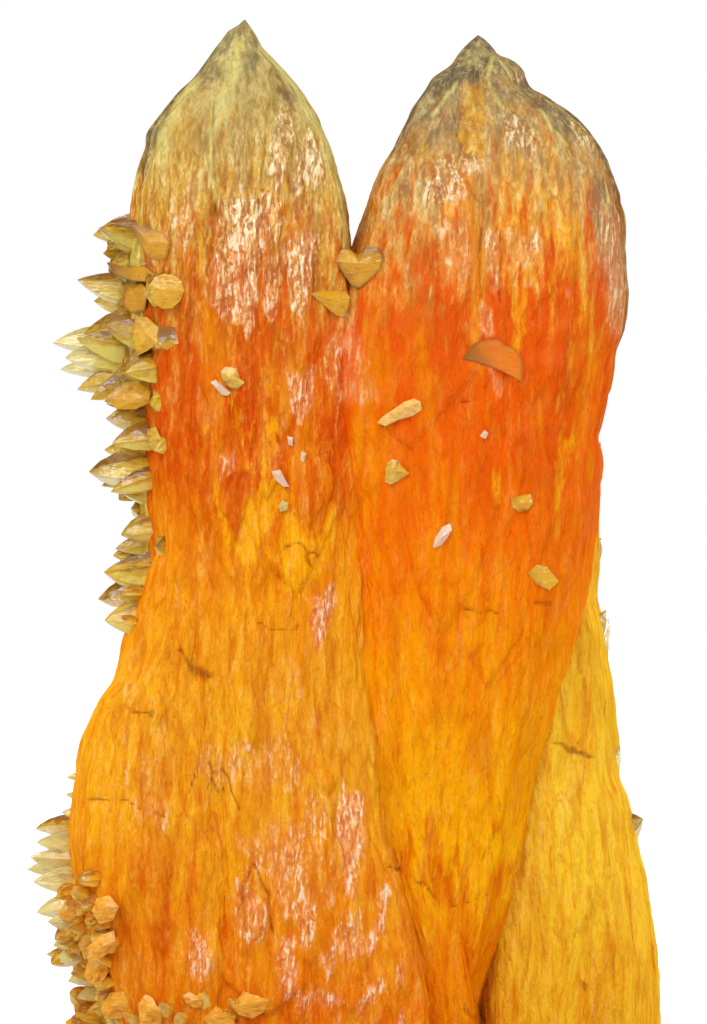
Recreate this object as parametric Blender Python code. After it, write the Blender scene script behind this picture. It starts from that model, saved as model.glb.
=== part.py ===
"""Calcite specimen: two tall curved dogtooth crystals side by side, a broad crystal at the lower left, a
pale crystal behind at the lower right, and a crust of small dogtooth crystals down the left flank.

It all grew together, so it is one solid. +X is the viewer's right, -Y faces the viewer and +Z is up.
The specimen stands on a flat cut at Z = 0. Lengths in the tables are millimetres.
"""

import bmesh
import bpy
import numpy as np

MM = 0.001
NODE = "calcite_crystals"
# Moves the tables' X and Y so that the specimen's box is centred on the origin.
CENTRE_SHIFT = np.array([-0.035, -0.705, 0.0])
# Every crystal is carried this far below the cut, so that the cut passes through solid material.
BELOW_CUT = 3.0
# The top ring of a large crystal lies this far under its tip.
TIP_GAP = 0.5

# Each large crystal: rows of height, left, right, front and back, tip first. Corners are the ridges of
# its cross-section as shares of the half width and half depth, going round from the left by the front.
# Around and up are its counts of facets.
LEFT_CRYSTAL = {
    "seed": 11,
    "around": 30,
    "up": 21,
    "corners": [
        (-1.0, 0.0), (-0.68, -0.74), (-0.2, -1.0), (0.3, -0.94), (0.42, -0.99), (0.78, -0.6),
        (1.0, -0.04), (0.72, 0.68), (0.25, 1.0), (-0.3, 0.94), (-0.78, 0.64),
    ],
    "rows": [
        (104.4, -10.0, -10.0, -1.5, -1.5),
        (102.6, -12.4, -8.8, -3.4, 0.3),
        (98.6, -15.6, -5.5, -6.2, 3.4),
        (94.6, -19.0, -2.7, -8.4, 5.8),
        (88.6, -21.3, -0.5, -10.2, 8.2),
        (82.0, -21.8, 0.4, -11.0, 9.6),
        (69.4, -21.3, 1.6, -10.8, 10.0),
        (54.4, -20.6, 3.0, -10.8, 9.8),
        (42.0, -19.8, 2.9, -11.8, 9.6),
        (30.0, -19.0, 4.4, -13.2, 9.4),
        (22.6, -18.6, 5.2, -14.2, 9.4),
        (16.4, -18.2, 7.4, -15.0, 9.4),
        (8.4, -18.0, 9.0, -15.4, 9.4),
        (0.0, -17.6, 9.8, -15.2, 9.4),
    ],
}
RIGHT_CRYSTAL = {
    "seed": 23,
    "around": 33,
    "up": 24,
    "corners": [
        (-1.0, 0.04), (-0.82, -0.5), (-0.5, -0.84), (-0.16, -1.0), (-0.04, -0.9), (0.08, -0.98),
        (0.55, -0.82), (0.86, -0.46), (1.0, 0.0), (0.74, 0.7), (0.2, 1.0), (-0.35, 0.94), (-0.8, 0.6),
    ],
    "rows": [
        (102.8, 13.2, 13.2, -1.0, -1.0),
        (100.6, 10.8, 16.2, -3.4, 1.4),
        (98.6, 8.5, 18.2, -5.4, 3.6),
        (94.6, 6.0, 23.2, -8.4, 7.4),
        (90.6, 4.0, 26.2, -10.4, 9.8),
        (84.6, 1.6, 28.0, -12.0, 11.8),
        (78.0, -1.6, 28.2, -12.6, 12.8),
        (70.0, -3.2, 27.0, -12.4, 12.8),
        (60.0, -2.2, 25.0, -12.0, 12.4),
        (46.4, -1.4, 23.8, -11.4, 11.6),
        (36.4, -0.8, 21.9, -10.6, 11.0),
        (27.7, -0.4, 19.3, -9.8, 10.2),
        (19.4, 0.6, 17.8, -9.0, 9.4),
        (8.0, 3.0, 14.4, -7.6, 8.0),
        (0.0, 4.4, 11.0, -6.4, 6.8),
    ],
}
SHOULDER_CRYSTAL = {
    "seed": 37,
    "around": 24,
    "up": 13,
    "corners": [
        (-1.0, 0.08), (-0.8, -0.62), (-0.3, -0.95), (0.34, -1.0), (0.86, -0.78),
        (1.0, -0.3), (0.76, 0.62), (0.1, 1.0), (-0.62, 0.84),
    ],
    "rows": [
        (56.0, -17.0, -17.0, -3.0, -3.0),
        (50.0, -19.4, -12.6, -7.4, 1.0),
        (42.4, -21.8, -10.0, -9.8, 4.4),
        (36.4, -24.8, -9.0, -11.4, 7.0),
        (30.4, -26.8, -8.4, -12.6, 8.8),
        (22.6, -27.7, -8.0, -13.6, 10.0),
        (16.4, -27.2, -7.6, -14.2, 10.6),
        (8.4, -25.6, -7.4, -14.2, 10.8),
        (0.0, -23.4, -7.0, -13.6, 10.6),
    ],
}
REAR_CRYSTAL = {
    "seed": 53,
    "around": 24,
    "up": 15,
    "corners": [
        (-1.0, 0.0), (-0.55, -0.82), (0.1, -1.0), (0.7, -0.76), (1.0, -0.1),
        (0.75, 0.68), (0.1, 1.0), (-0.6, 0.82),
    ],
    "rows": [
        (66.0, 22.0, 22.0, 5.0, 5.0),
        (60.0, 18.6, 25.0, 0.8, 9.6),
        (50.0, 15.6, 25.2, -2.0, 13.0),
        (40.0, 14.0, 26.0, -3.4, 14.6),
        (30.0, 12.6, 27.2, -4.4, 15.6),
        (20.0, 11.4, 29.6, -5.0, 16.4),
        (8.0, 10.4, 31.4, -5.2, 16.8),
        (0.0, 10.0, 31.4, -5.0, 16.6),
    ],
}
# The hidden middle in which the crystals meet, so that no slit is left between them.
CORE = {
    "seed": 61,
    "around": 16,
    "up": 7,
    "corners": [(-1.0, 0.0), (-0.6, -1.0), (0.6, -1.0), (1.0, 0.0), (0.6, 1.0), (-0.6, 1.0)],
    "rows": [
        (80.0, 0.5, 0.5, 1.0, 1.0),
        (70.0, -8.0, 10.0, -3.4, 5.0),
        (40.0, -10.0, 18.0, -4.4, 6.0),
        (0.0, -12.0, 20.0, -4.4, 6.4),
    ],
}
# The lumpy crusts that the small crystals stand on, down the left flank and round the foot.
UPPER_BED = {
    "seed": 67,
    "around": 12,
    "up": 13,
    "corners": [(-1.0, 0.0), (-0.6, -0.9), (0.3, -1.0), (1.0, 0.0), (0.3, 1.0), (-0.6, 0.9)],
    "rows": [
        (85.0, -20.0, -20.0, -2.0, -2.0),
        (82.0, -22.4, -14.0, -7.8, 3.0),
        (76.0, -22.6, -14.0, -8.8, 4.0),
        (70.5, -23.6, -15.0, -8.0, 4.0),
        (66.0, -21.6, -15.0, -7.0, 3.0),
        (60.0, -22.0, -15.0, -5.6, 2.6),
        (54.0, -20.8, -15.0, -5.0, 2.0),
        (48.0, -21.2, -15.0, -5.0, 2.0),
        (42.0, -19.4, -15.0, -4.0, 2.0),
    ],
}
LOWER_BED = {
    "seed": 68,
    "around": 12,
    "up": 9,
    "corners": [(-1.0, 0.0), (-0.6, -0.9), (0.3, -1.0), (1.0, 0.0), (0.3, 1.0), (-0.6, 0.9)],
    "rows": [
        (25.0, -25.0, -25.0, -2.0, -2.0),
        (21.0, -28.2, -20.0, -5.0, 3.0),
        (15.0, -27.6, -19.0, -9.2, 4.0),
        (8.0, -25.2, -17.0, -11.6, 4.0),
        (0.0, -22.8, -14.0, -13.4, 3.0),
    ],
}
LARGE_CRYSTALS = [LEFT_CRYSTAL, RIGHT_CRYSTAL, SHOULDER_CRYSTAL, REAR_CRYSTAL]

# Small dogtooth crystals in view. Root X and Z, tip X and Z, width, depth (Y) of the root, and how far
# the tip leans towards the viewer.
UPPER_CRUST = [
    (-20.8, 83.8, -25.3, 82.9, 2.7, 1.5, 0.0), (-20.6, 82.4, -24.6, 83.5, 2.9, -2.5, 1.0),
    (-18.8, 82.6, -17.0, 80.8, 3.6, -7.5, 1.4), (-20.4, 80.6, -20.0, 78.6, 3.2, -5.5, 1.4),
    (-20.2, 78.4, -23.8, 80.0, 2.6, -2.0, 0.6), (-20.8, 77.6, -26.8, 78.4, 3.0, -1.0, 0.5),
    (-20.6, 76.2, -25.2, 76.3, 2.8, 0.6, 0.0), (-18.8, 77.4, -15.8, 77.2, 3.8, -8.0, 1.2),
    (-20.0, 77.8, -19.6, 76.6, 3.6, -7.2, 2.4), (-21.0, 74.0, -26.2, 72.8, 3.6, -1.0, 0.6),
    (-22.6, 71.6, -29.3, 72.1, 2.8, 0.8, 0.0), (-20.6, 73.0, -24.0, 73.8, 3.2, -4.4, 1.2),
    (-22.4, 70.8, -26.8, 72.5, 2.8, -2.6, 0.8), (-22.4, 70.2, -28.0, 70.6, 2.8, -1.4, 0.6),
    (-23.0, 69.8, -28.6, 69.5, 2.0, 1.6, 0.0), (-22.2, 69.6, -26.8, 67.4, 2.6, -1.4, 0.4),
    (-21.6, 69.2, -25.4, 66.4, 2.4, -3.0, 0.6), (-21.4, 68.8, -24.0, 66.2, 2.4, -4.6, 0.8),
    (-19.6, 73.4, -18.4, 71.6, 3.4, -7.4, 1.6), (-20.4, 69.8, -21.8, 69.0, 3.0, -6.0, 1.6),
    (-20.2, 67.4, -22.6, 68.7, 2.6, -4.0, 0.8), (-19.6, 67.0, -19.2, 65.6, 3.0, -6.4, 1.2),
    (-20.4, 64.2, -23.9, 64.5, 2.8, -2.4, 0.6), (-20.2, 63.0, -23.2, 62.0, 2.4, -4.2, 1.0),
    (-19.0, 63.2, -18.9, 61.2, 1.9, -7.0, 0.8), (-20.6, 61.2, -24.1, 61.4, 2.2, -1.0, 0.2),
    (-20.4, 60.2, -25.6, 59.2, 3.8, -2.0, 0.4), (-21.2, 59.4, -24.4, 57.8, 2.0, 0.6, 0.0),
    (-20.6, 58.8, -23.4, 57.2, 2.0, -3.0, 0.4), (-20.4, 57.0, -22.5, 57.3, 1.9, -1.6, 0.4),
    (-20.2, 53.8, -22.4, 52.9, 2.6, -2.0, 0.8), (-20.0, 51.8, -23.0, 51.5, 2.0, -0.6, 0.2),
    (-19.8, 52.0, -18.9, 51.8, 2.2, -5.6, 1.0), (-19.8, 49.8, -24.1, 49.2, 3.2, -2.4, 0.6),
    (-19.8, 47.6, -24.7, 46.5, 2.8, -1.4, 0.4), (-19.4, 45.2, -24.0, 44.4, 3.4, -3.0, 0.8),
]
LOWER_CRUST = [
    (-26.8, 29.2, -27.9, 28.7, 1.0, -1.0, 0.0), (-26.8, 26.6, -28.0, 27.0, 1.0, -1.0, 0.0),
    (-27.0, 24.8, -28.4, 25.2, 1.3, -1.0, 0.0), (-27.0, 22.6, -30.9, 22.2, 2.1, -0.5, 0.2),
    (-27.2, 20.6, -31.5, 20.8, 2.3, -1.0, 0.4), (-27.2, 19.6, -31.9, 19.4, 1.8, 1.0, 0.0),
    (-26.8, 18.2, -31.2, 18.3, 2.4, -1.8, 0.6), (-26.6, 16.8, -30.9, 15.2, 2.6, -1.0, 0.4),
    (-26.2, 15.4, -29.7, 14.4, 2.4, -3.0, 0.8), (-25.8, 13.6, -29.2, 11.9, 2.4, -1.8, 0.4),
    (-25.4, 11.8, -29.2, 10.2, 2.4, -1.0, 0.2), (-24.8, 9.8, -27.7, 8.4, 2.4, -2.4, 0.6),
    (-24.2, 8.0, -26.9, 6.7, 2.4, -1.4, 0.4), (-23.6, 6.4, -25.9, 5.3, 2.4, -2.4, 0.6),
    (-24.8, 14.6, -23.4, 17.0, 3.0, -7.0, 1.6), (-24.8, 10.6, -22.6, 13.4, 3.2, -7.4, 1.6),
    (-24.0, 9.0, -22.6, 10.4, 2.6, -8.0, 1.4), (-25.6, 12.8, -26.6, 12.2, 3.2, -5.0, 1.6),
    (-25.0, 16.6, -26.2, 16.8, 3.0, -4.8, 1.4), (-22.6, 6.0, -22.0, 7.8, 2.8, -8.4, 1.2),
    (-20.0, 4.8, -18.8, 7.2, 2.8, -11.0, 1.2), (-15.4, 6.2, -13.8, 7.8, 2.2, -13.4, 1.2),
    (-22.6, 3.4, -24.6, 2.6, 2.8, -5.0, 0.8), (-20.0, 2.4, -21.0, 1.4, 2.8, -10.0, 1.2),
]
# The stacked pointed scales on the rear crystal's right edge.
EDGE_SCALES = [
    (24.2, 52.6, 25.6, 62.2, 3.4, 4.0, 0.4), (24.0, 46.4, 25.7, 52.6, 3.0, 5.0, 0.0),
    (24.8, 38.6, 26.2, 45.4, 3.2, 4.0, 0.4), (25.6, 33.0, 26.8, 38.2, 2.8, 5.0, 0.0),
    (26.0, 26.6, 27.6, 31.6, 3.2, 4.0, 0.4), (27.2, 22.6, 29.9, 24.4, 4.4, 4.6, 0.4),
]
# Lone small crystals on the front: root X and Z, tip X and Z, width, and how far the tip stands out.
LONE_TEETH = [
    (0.6, 79.8, 0.7, 77.2, 3.6, 2.8), (2.0, 79.8, 2.4, 77.6, 3.0, 2.4), (0.0, 75.6, -3.4, 77.0, 2.4, 2.2),
    (-12.0, 68.4, -10.6, 69.2, 2.4, 1.4), (7.2, 65.8, 3.2, 64.3, 1.9, 1.6), (15.6, 70.6, 11.4, 70.6, 3.0, 1.8),
    (5.2, 60.0, 4.8, 58.2, 2.1, 1.2), (17.2, 56.4, 18.6, 56.6, 1.8, 1.2), (10.2, 54.0, 9.0, 52.2, 1.3, 1.2),
    (-6.6, 58.8, -5.4, 57.4, 1.4, 1.2),
]
# Crusts of small crystals that the view hides: crystal, seed, count, then ranges of place round it
# (shares of the way round from the left by the front), height and length.
HIDDEN_CRUSTS = [
    (LEFT_CRYSTAL, 5, 13, (0.86, 0.99), (62.0, 84.0), (2.4, 4.2)),
    (SHOULDER_CRYSTAL, 6, 14, (0.84, 0.99), (4.0, 24.0), (2.2, 3.8)),
    (LEFT_CRYSTAL, 7, 6, (0.9, 0.99), (46.0, 60.0), (2.0, 3.2)),
]
# Long pointed growth plates over each large crystal: seed, count, and ranges of height, length, width
# and how far the plate's lower end stands out.
PLATES = [
    (LEFT_CRYSTAL, 71, 11, (56.0, 94.0), (8.0, 14.0), (2.0, 3.4), (0.4, 0.7)),
    (RIGHT_CRYSTAL, 72, 15, (34.0, 94.0), (8.0, 15.0), (2.2, 3.8), (0.4, 0.8)),
    (SHOULDER_CRYSTAL, 73, 11, (14.0, 44.0), (7.0, 12.0), (2.0, 3.4), (0.4, 0.7)),
    (REAR_CRYSTAL, 74, 8, (14.0, 52.0), (7.0, 12.0), (2.0, 3.2), (0.3, 0.6)),
]
# The cross-section of every small crystal: six corners as shares of the half width and half thickness.
SMALL_SECTION = [(1.0, 0.0), (0.42, 0.8), (-0.56, 0.9), (-1.0, 0.0), (-0.42, -0.8), (0.56, -0.9)]
# Rings from root to tip as shares of the length and of the width.
TOOTH_RINGS = [(0.0, 0.8), (0.52, 1.0), (0.8, 0.56)]
SHORT_RINGS = [(0.0, 0.9), (0.5, 1.0)]
PLATE_RINGS = [(0.0, 0.3), (0.55, 1.0)]
TOOTH_THICKNESS = 0.78
PLATE_THICKNESS = 0.5
# The crusts' crystals are this much wider than the widths in their tables, which are seen past neighbours.
CRUST_STOUTNESS = 1.2
# Width of a hidden crust's crystal as a share of its length.
HIDDEN_STOUTNESS = 0.85
# How far a small crystal's root lies inside what it grows on, towards these places (X and Y).
ROOT_DEPTH = 3.0
FLANK_AXIS = (-10.0, -0.5)
REAR_AXIS = (20.0, 5.0)

# Relief of the large crystals: size across, size along and height of each kind, in millimetres.
LUMPS = (9.0, 18.0, 1.0)
LEDGES = (5.5, 16.0, 0.8)
# Upright flutes: every other edge stands out by up to this much, over runs of this length.
FLUTE_HEIGHT = 0.32
FLUTE_RUN = 11.0
# Relief fades out where a crystal is thinner than this, so that tips stay sharp.
FULL_RELIEF_HALF_WIDTH = 6.0

BODY_COLOUR = (0.86, 0.36, 0.05, 1.0)
BODY_ROUGHNESS = 0.28
BODY_TRANSMISSION = 0.5
CALCITE_IOR = 1.6


def smooth_rows(rows, heights):
    """The rows' four edges at the given heights, on a cubic through the rows that doesn't overshoot."""
    table = np.array(rows[::-1], float)
    z, values = table[:, 0], table[:, 1:]
    rise = np.diff(values, axis=0) / np.diff(z)[:, None]
    slope = np.zeros_like(values)
    same_way = rise[:-1] * rise[1:] > 0
    mean = 2 * rise[:-1] * rise[1:] / np.where(same_way, rise[:-1] + rise[1:], 1)
    slope[1:-1] = np.where(same_way, mean, 0)
    slope[0], slope[-1] = rise[0], rise[-1]
    span = np.clip(np.searchsorted(z, heights) - 1, 0, len(z) - 2)
    width = (z[span + 1] - z[span])[:, None]
    t = (heights - z[span])[:, None] / width
    start, end = values[span], values[span + 1]
    lift, fall = slope[span] * width, slope[span + 1] * width
    rise_part = start * (1 + 2 * t) * (1 - t) ** 2 + lift * t * (1 - t) ** 2
    return rise_part + end * t**2 * (3 - 2 * t) - fall * t**2 * (1 - t)


def cross_section(corners, count):
    """The corners with points added along the sides between them, longer sides getting more."""
    ring = np.array(corners, float)
    ring -= (ring.max(axis=0) + ring.min(axis=0)) / 2
    ring /= ring.max(axis=0)
    following = np.roll(ring, -1, axis=0)
    length = np.linalg.norm(following - ring, axis=1)
    parts = np.maximum(1, np.round(length / length.sum() * count)).astype(int)
    points = []
    for start, end, number in zip(ring, following, parts):
        points += [start + (end - start) * k / number for k in range(number)]
    return np.array(points)


def lattice_value(cell, seed):
    """A repeatable value from 0 to 1 for each whole-numbered cell."""
    x, y, z = (cell[..., k].astype(np.int64) for k in range(3))
    mixed = (x * 374761393 + y * 668265263 + z * 2147483647 + seed * 974634777) & 0xFFFFFFFF
    mixed = ((mixed ^ (mixed >> 13)) * 1274126177) & 0xFFFFFFFF
    return ((mixed ^ (mixed >> 16)) & 0xFFFF) / 65535.0


def smooth_noise(points, seed):
    """Value noise from 0 to 1: lattice values blended by the smoothstep of the place in each cell."""
    cell = np.floor(points)
    part = points - cell
    part = part * part * (3 - 2 * part)
    total = 0.0
    for corner in np.ndindex(2, 2, 2):
        share = np.prod(np.where(corner, part, 1 - part), axis=-1)
        total = total + share * lattice_value(cell + corner, seed)
    return total


def nearest_cell(points, seed):
    """For each point, the value of the nearest jittered lattice point and the vector to it."""
    cell = np.floor(points)
    best = np.full(points.shape[:-1], 1e9)
    value = np.zeros(points.shape[:-1])
    offset = np.zeros(points.shape)
    for step in np.ndindex(3, 3, 3):
        other = cell + np.array(step) - 1
        jitter = np.stack([lattice_value(other, seed + k) for k in (1, 2, 3)], axis=-1)
        away = points - other - jitter
        distance = (away**2).sum(axis=-1)
        closer = distance < best
        best = np.where(closer, distance, best)
        value = np.where(closer, lattice_value(other, seed + 4), value)
        offset = np.where(closer[..., None], away, offset)
    return value, offset


def relief(grid, seed):
    """How far the surface stands out: lumps, ledges that stand proud at their feet, and flutes."""
    across, along, height = LUMPS
    out = height * (smooth_noise(grid / (across, across, along), seed) - 0.5)
    across, along, height = LEDGES
    value, offset = nearest_cell(grid / (across, across, along), seed + 17)
    out += height * (value - 0.5 - 0.5 * offset[..., 2])
    columns = np.arange(grid.shape[1])
    place = np.stack([np.broadcast_to(columns / 2.0, out.shape), grid[..., 2] / FLUTE_RUN, 0 * out], axis=-1)
    return out + FLUTE_HEIGHT * np.where(columns % 2, 1, -1) * smooth_noise(place, seed + 29)


def crystal_rings(crystal):
    """Grid of points: the cross-section scaled to the rows at each height, pushed out by the relief."""
    top = crystal["rows"][0][0] - TIP_GAP
    lowest = crystal["rows"][-1][0]
    bottom = lowest if lowest > 0 else -BELOW_CUT
    heights = top - np.linspace(0, 1, crystal["up"]) ** 1.2 * (top - bottom)
    left, right, front, back = smooth_rows(crystal["rows"], np.maximum(heights, lowest)).T
    section = cross_section(crystal["corners"], crystal["around"])
    centre = np.stack([(left + right) / 2, (front + back) / 2], axis=1)
    half = np.stack([(right - left) / 2, (back - front) / 2], axis=1)
    flat = centre[:, None, :] + half[:, None, :] * section[None, :, :]
    grid = np.concatenate([flat, np.broadcast_to(heights[:, None, None], flat.shape[:2] + (1,))], axis=2)
    outward = np.pad(section / np.linalg.norm(section, axis=1)[:, None], ((0, 0), (0, 1)))
    fade = np.clip(half.min(axis=1) / FULL_RELIEF_HALF_WIDTH, 0.0, 1.0)[:, None]
    return grid + outward[None] * (relief(grid, crystal["seed"]) * fade)[..., None]


def crystal_tip(crystal):
    """The tip's place, which closes the top ring."""
    height, left, right, front, back = crystal["rows"][0]
    return np.array([(left + right) / 2, (front + back) / 2, height])


def surface_place(crystal, turn, height):
    """A point of a large crystal's side without its relief, and the way it faces."""
    left, right, front, back = smooth_rows(crystal["rows"], np.array([float(height)]))[0]
    section = cross_section(crystal["corners"], 120)
    start = section[int(turn * len(section)) % len(section)]
    half = np.array([(right - left) / 2, (back - front) / 2])
    point = np.array([(left + right) / 2, (front + back) / 2]) + half * start
    facing = start / half
    facing = np.array([*facing / np.linalg.norm(facing), 0.0])
    return np.array([*point, height]), facing


def front_depth(x, z):
    """Y of the large crystals' front at a point of the view, without their relief."""
    nearest = 0.0
    for crystal in LARGE_CRYSTALS:
        if z > crystal["rows"][0][0] - TIP_GAP:
            continue
        left, right, front, back = smooth_rows(crystal["rows"], np.array([float(z)]))[0]
        share = (x - (left + right) / 2) / ((right - left) / 2)
        if abs(share) < 0.98:
            section = cross_section(crystal["corners"], 240)
            near = section[section[:, 1] < 0.2]
            edge = near[np.argmin(np.abs(near[:, 0] - share)), 1]
            nearest = min(nearest, (front + back) / 2 + edge * (back - front) / 2)
    return nearest


def add_rings(mesh, rings, tip):
    """Skins a stack of rings, top first, closing the top to a tip and the bottom with one flat face."""
    layers = [[mesh.verts.new(point) for point in ring] for ring in rings]
    count = len(layers[0])
    point = mesh.verts.new(tip)
    for upper, lower in zip(layers, layers[1:]):
        for k in range(count):
            other = (k + 1) % count
            mesh.faces.new((upper[k], lower[k], lower[other], upper[other]))
    for k in range(count):
        mesh.faces.new((point, layers[0][k], layers[0][(k + 1) % count]))
    mesh.faces.new(list(reversed(layers[-1])))


def small_crystal(root, tip, width, facing, ring_shares=TOOTH_RINGS, thickness=TOOTH_THICKNESS):
    """Rings, top first, and tip of a small pointed crystal whose flat side turns to facing."""
    root, tip = np.asarray(root, float), np.asarray(tip, float)
    axis = (tip - root) / np.linalg.norm(tip - root)
    side = np.cross(axis, facing)
    side /= np.linalg.norm(side)
    thin = np.cross(side, axis)
    section = np.array(SMALL_SECTION) * width / 2
    rings = []
    for along, share in reversed(ring_shares):
        ring = section * share
        rings.append(root + (tip - root) * along + ring[:, :1] * side + ring[:, 1:] * thickness * thin)
    return rings, tip


def teeth_in_view():
    """The crusts down the left flank and round the foot, and the scales on the right edge."""
    groups = [(UPPER_CRUST, FLANK_AXIS), (LOWER_CRUST, FLANK_AXIS), (EDGE_SCALES, REAR_AXIS)]
    for teeth, axis in groups:
        for number, (x0, z0, x1, z1, width, depth, lean) in enumerate(teeth):
            root, tip = np.array([x0, depth, z0]), np.array([x1, depth - lean, z1])
            inward = np.array([*axis, z0]) - root
            facing = (0.25 * (number % 3 - 1), -1.0, 0.3 * (number % 4 - 1.5))
            root += inward / np.linalg.norm(inward) * ROOT_DEPTH
            yield small_crystal(root, tip, width * CRUST_STOUTNESS, facing)


def lone_teeth():
    """The lone crystals, rooted on the front surface and leaning out of it."""
    for number, (x0, z0, x1, z1, width, out) in enumerate(LONE_TEETH):
        root = np.array([x0, front_depth(x0, z0) + 0.5, z0])
        tip = np.array([x1, front_depth(x1, z1) - out, z1])
        yield small_crystal(root, tip, width, (0.3 * (number % 3 - 1), -1.0, 0.4), SHORT_RINGS)


def hidden_teeth():
    """Seeded crusts where the view doesn't reach."""
    for crystal, seed, count, turns, heights, lengths in HIDDEN_CRUSTS:
        draw = np.random.RandomState(seed)
        for _ in range(count):
            point, facing = surface_place(crystal, draw.uniform(*turns), draw.uniform(*heights))
            length = draw.uniform(*lengths)
            lean = np.array([draw.uniform(-0.3, 0.3), draw.uniform(-0.3, 0.3), draw.uniform(-0.4, 0.4)])
            tip = point + (facing + lean) * length
            root = point - facing * ROOT_DEPTH
            yield small_crystal(root, tip, length * HIDDEN_STOUTNESS, (0.2, 0.1, 1.0), SHORT_RINGS)


def plates():
    """Seeded growth plates lying against the large crystals, pointing down and standing proud below."""
    for crystal, seed, count, heights, lengths, widths, outs in PLATES:
        draw = np.random.RandomState(seed)
        for number in range(count):
            turn = (number + draw.uniform(0.1, 0.9)) / count
            height, length = draw.uniform(*heights), draw.uniform(*lengths)
            top, facing = surface_place(crystal, turn, height)
            foot, facing = surface_place(crystal, turn, height - length)
            tip = foot + facing * draw.uniform(*outs)
            yield small_crystal(
                top - facing * 0.4, tip, draw.uniform(*widths), facing, PLATE_RINGS, PLATE_THICKNESS
            )


def make_object(name, build, hidden=False):
    """A mesh object from a function that fills a bmesh with millimetres, at its place in metres."""
    mesh = bmesh.new()
    build(mesh)
    bmesh.ops.recalc_face_normals(mesh, faces=mesh.faces)
    for vertex in mesh.verts:
        vertex.co = (np.array(vertex.co) + CENTRE_SHIFT) * MM
    data = bpy.data.meshes.new(name)
    mesh.to_mesh(data)
    mesh.free()
    obj = bpy.data.objects.new(name, data)
    bpy.context.scene.collection.objects.link(obj)
    if hidden:
        obj.hide_render = True
        obj.display_type = "WIRE"
    return obj


def large_builder(crystal):
    """A function that fills a bmesh with one large crystal."""
    return lambda mesh: add_rings(mesh, crystal_rings(crystal), crystal_tip(crystal))


def build_small_crystals(mesh):
    """Fills a bmesh with all the small crystals, each closed, which may cross each other."""
    for rings, tip in [*teeth_in_view(), *lone_teeth(), *hidden_teeth(), *plates()]:
        add_rings(mesh, rings, tip)


def build_ground(mesh):
    """Fills a bmesh with the block under the cut."""
    made = bmesh.ops.create_cube(mesh, size=1.0)
    for vertex in made["verts"]:
        vertex.co.x *= 200
        vertex.co.y *= 200
        vertex.co.z = vertex.co.z * 20 - 10


def join(obj, other, operation, crossing=False):
    """Adds an exact Boolean to obj."""
    modifier = obj.modifiers.new(f"{operation.lower()}_{other.name}", "BOOLEAN")
    modifier.operation = operation
    modifier.object = other
    modifier.solver = "EXACT"
    modifier.use_self = crossing


def calcite_material():
    """Translucent orange calcite."""
    material = bpy.data.materials.new("calcite")
    material.use_nodes = True
    shader = material.node_tree.nodes["Principled BSDF"]
    shader.inputs["Base Color"].default_value = BODY_COLOUR
    shader.inputs["Roughness"].default_value = BODY_ROUGHNESS
    shader.inputs["Metallic"].default_value = 0.0
    shader.inputs["Transmission Weight"].default_value = BODY_TRANSMISSION
    shader.inputs["IOR"].default_value = CALCITE_IOR
    return material


def main():
    for old in list(bpy.data.objects):
        bpy.data.objects.remove(old)
    body = make_object(NODE, large_builder(LEFT_CRYSTAL))
    others = [
        make_object("right_crystal", large_builder(RIGHT_CRYSTAL), hidden=True),
        make_object("shoulder_crystal", large_builder(SHOULDER_CRYSTAL), hidden=True),
        make_object("rear_crystal", large_builder(REAR_CRYSTAL), hidden=True),
        make_object("core", large_builder(CORE), hidden=True),
        make_object("upper_bed", large_builder(UPPER_BED), hidden=True),
        make_object("lower_bed", large_builder(LOWER_BED), hidden=True),
    ]
    for other in others:
        join(body, other, "UNION")
    join(body, make_object("small_crystals", build_small_crystals, hidden=True), "UNION", crossing=True)
    join(body, make_object("ground", build_ground, hidden=True), "DIFFERENCE")
    body.data.materials.append(calcite_material())


main()
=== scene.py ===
import math
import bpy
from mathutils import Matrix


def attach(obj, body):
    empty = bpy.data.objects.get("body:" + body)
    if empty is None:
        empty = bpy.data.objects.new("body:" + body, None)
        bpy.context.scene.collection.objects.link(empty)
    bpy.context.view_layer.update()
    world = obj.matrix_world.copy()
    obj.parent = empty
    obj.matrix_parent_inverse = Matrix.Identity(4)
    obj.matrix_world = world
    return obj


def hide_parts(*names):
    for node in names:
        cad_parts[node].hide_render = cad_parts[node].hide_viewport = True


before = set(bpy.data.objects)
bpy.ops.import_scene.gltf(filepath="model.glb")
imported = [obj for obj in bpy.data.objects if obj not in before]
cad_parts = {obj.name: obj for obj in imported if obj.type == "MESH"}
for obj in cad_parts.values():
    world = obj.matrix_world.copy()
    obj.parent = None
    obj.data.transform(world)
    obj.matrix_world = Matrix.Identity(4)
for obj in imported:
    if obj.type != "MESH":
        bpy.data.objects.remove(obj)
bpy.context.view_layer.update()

from types import SimpleNamespace

import bmesh
import bpy
import numpy as np
from mathutils import Vector
from mathutils.bvhtree import BVHTree

MM = 0.001
CAD_NODE = "calcite_crystals"

# The view: a pixel of the photograph is a tenth of a millimetre, and the foot lies this many pixels down.
PIXEL_MM = 0.1
CENTRE_PIXEL = 345.5
FOOT_PIXEL = 1064.0
IMAGE_WIDTH = 707
IMAGE_HEIGHT = 1024
CAMERA_DISTANCE_MM = 1000.0
SENSOR_MM = 36.0
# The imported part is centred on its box, which moves the work by this much (X, Y and Z).
CENTRE_SHIFT = np.array([-0.035, -0.705, 0.0])

# Every large crystal is carried this far below the cut before it is cut.
BELOW_CUT = 2.0
# The first ring of points lies this far below a large crystal's tip.
TIP_GAP = 0.12

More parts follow.
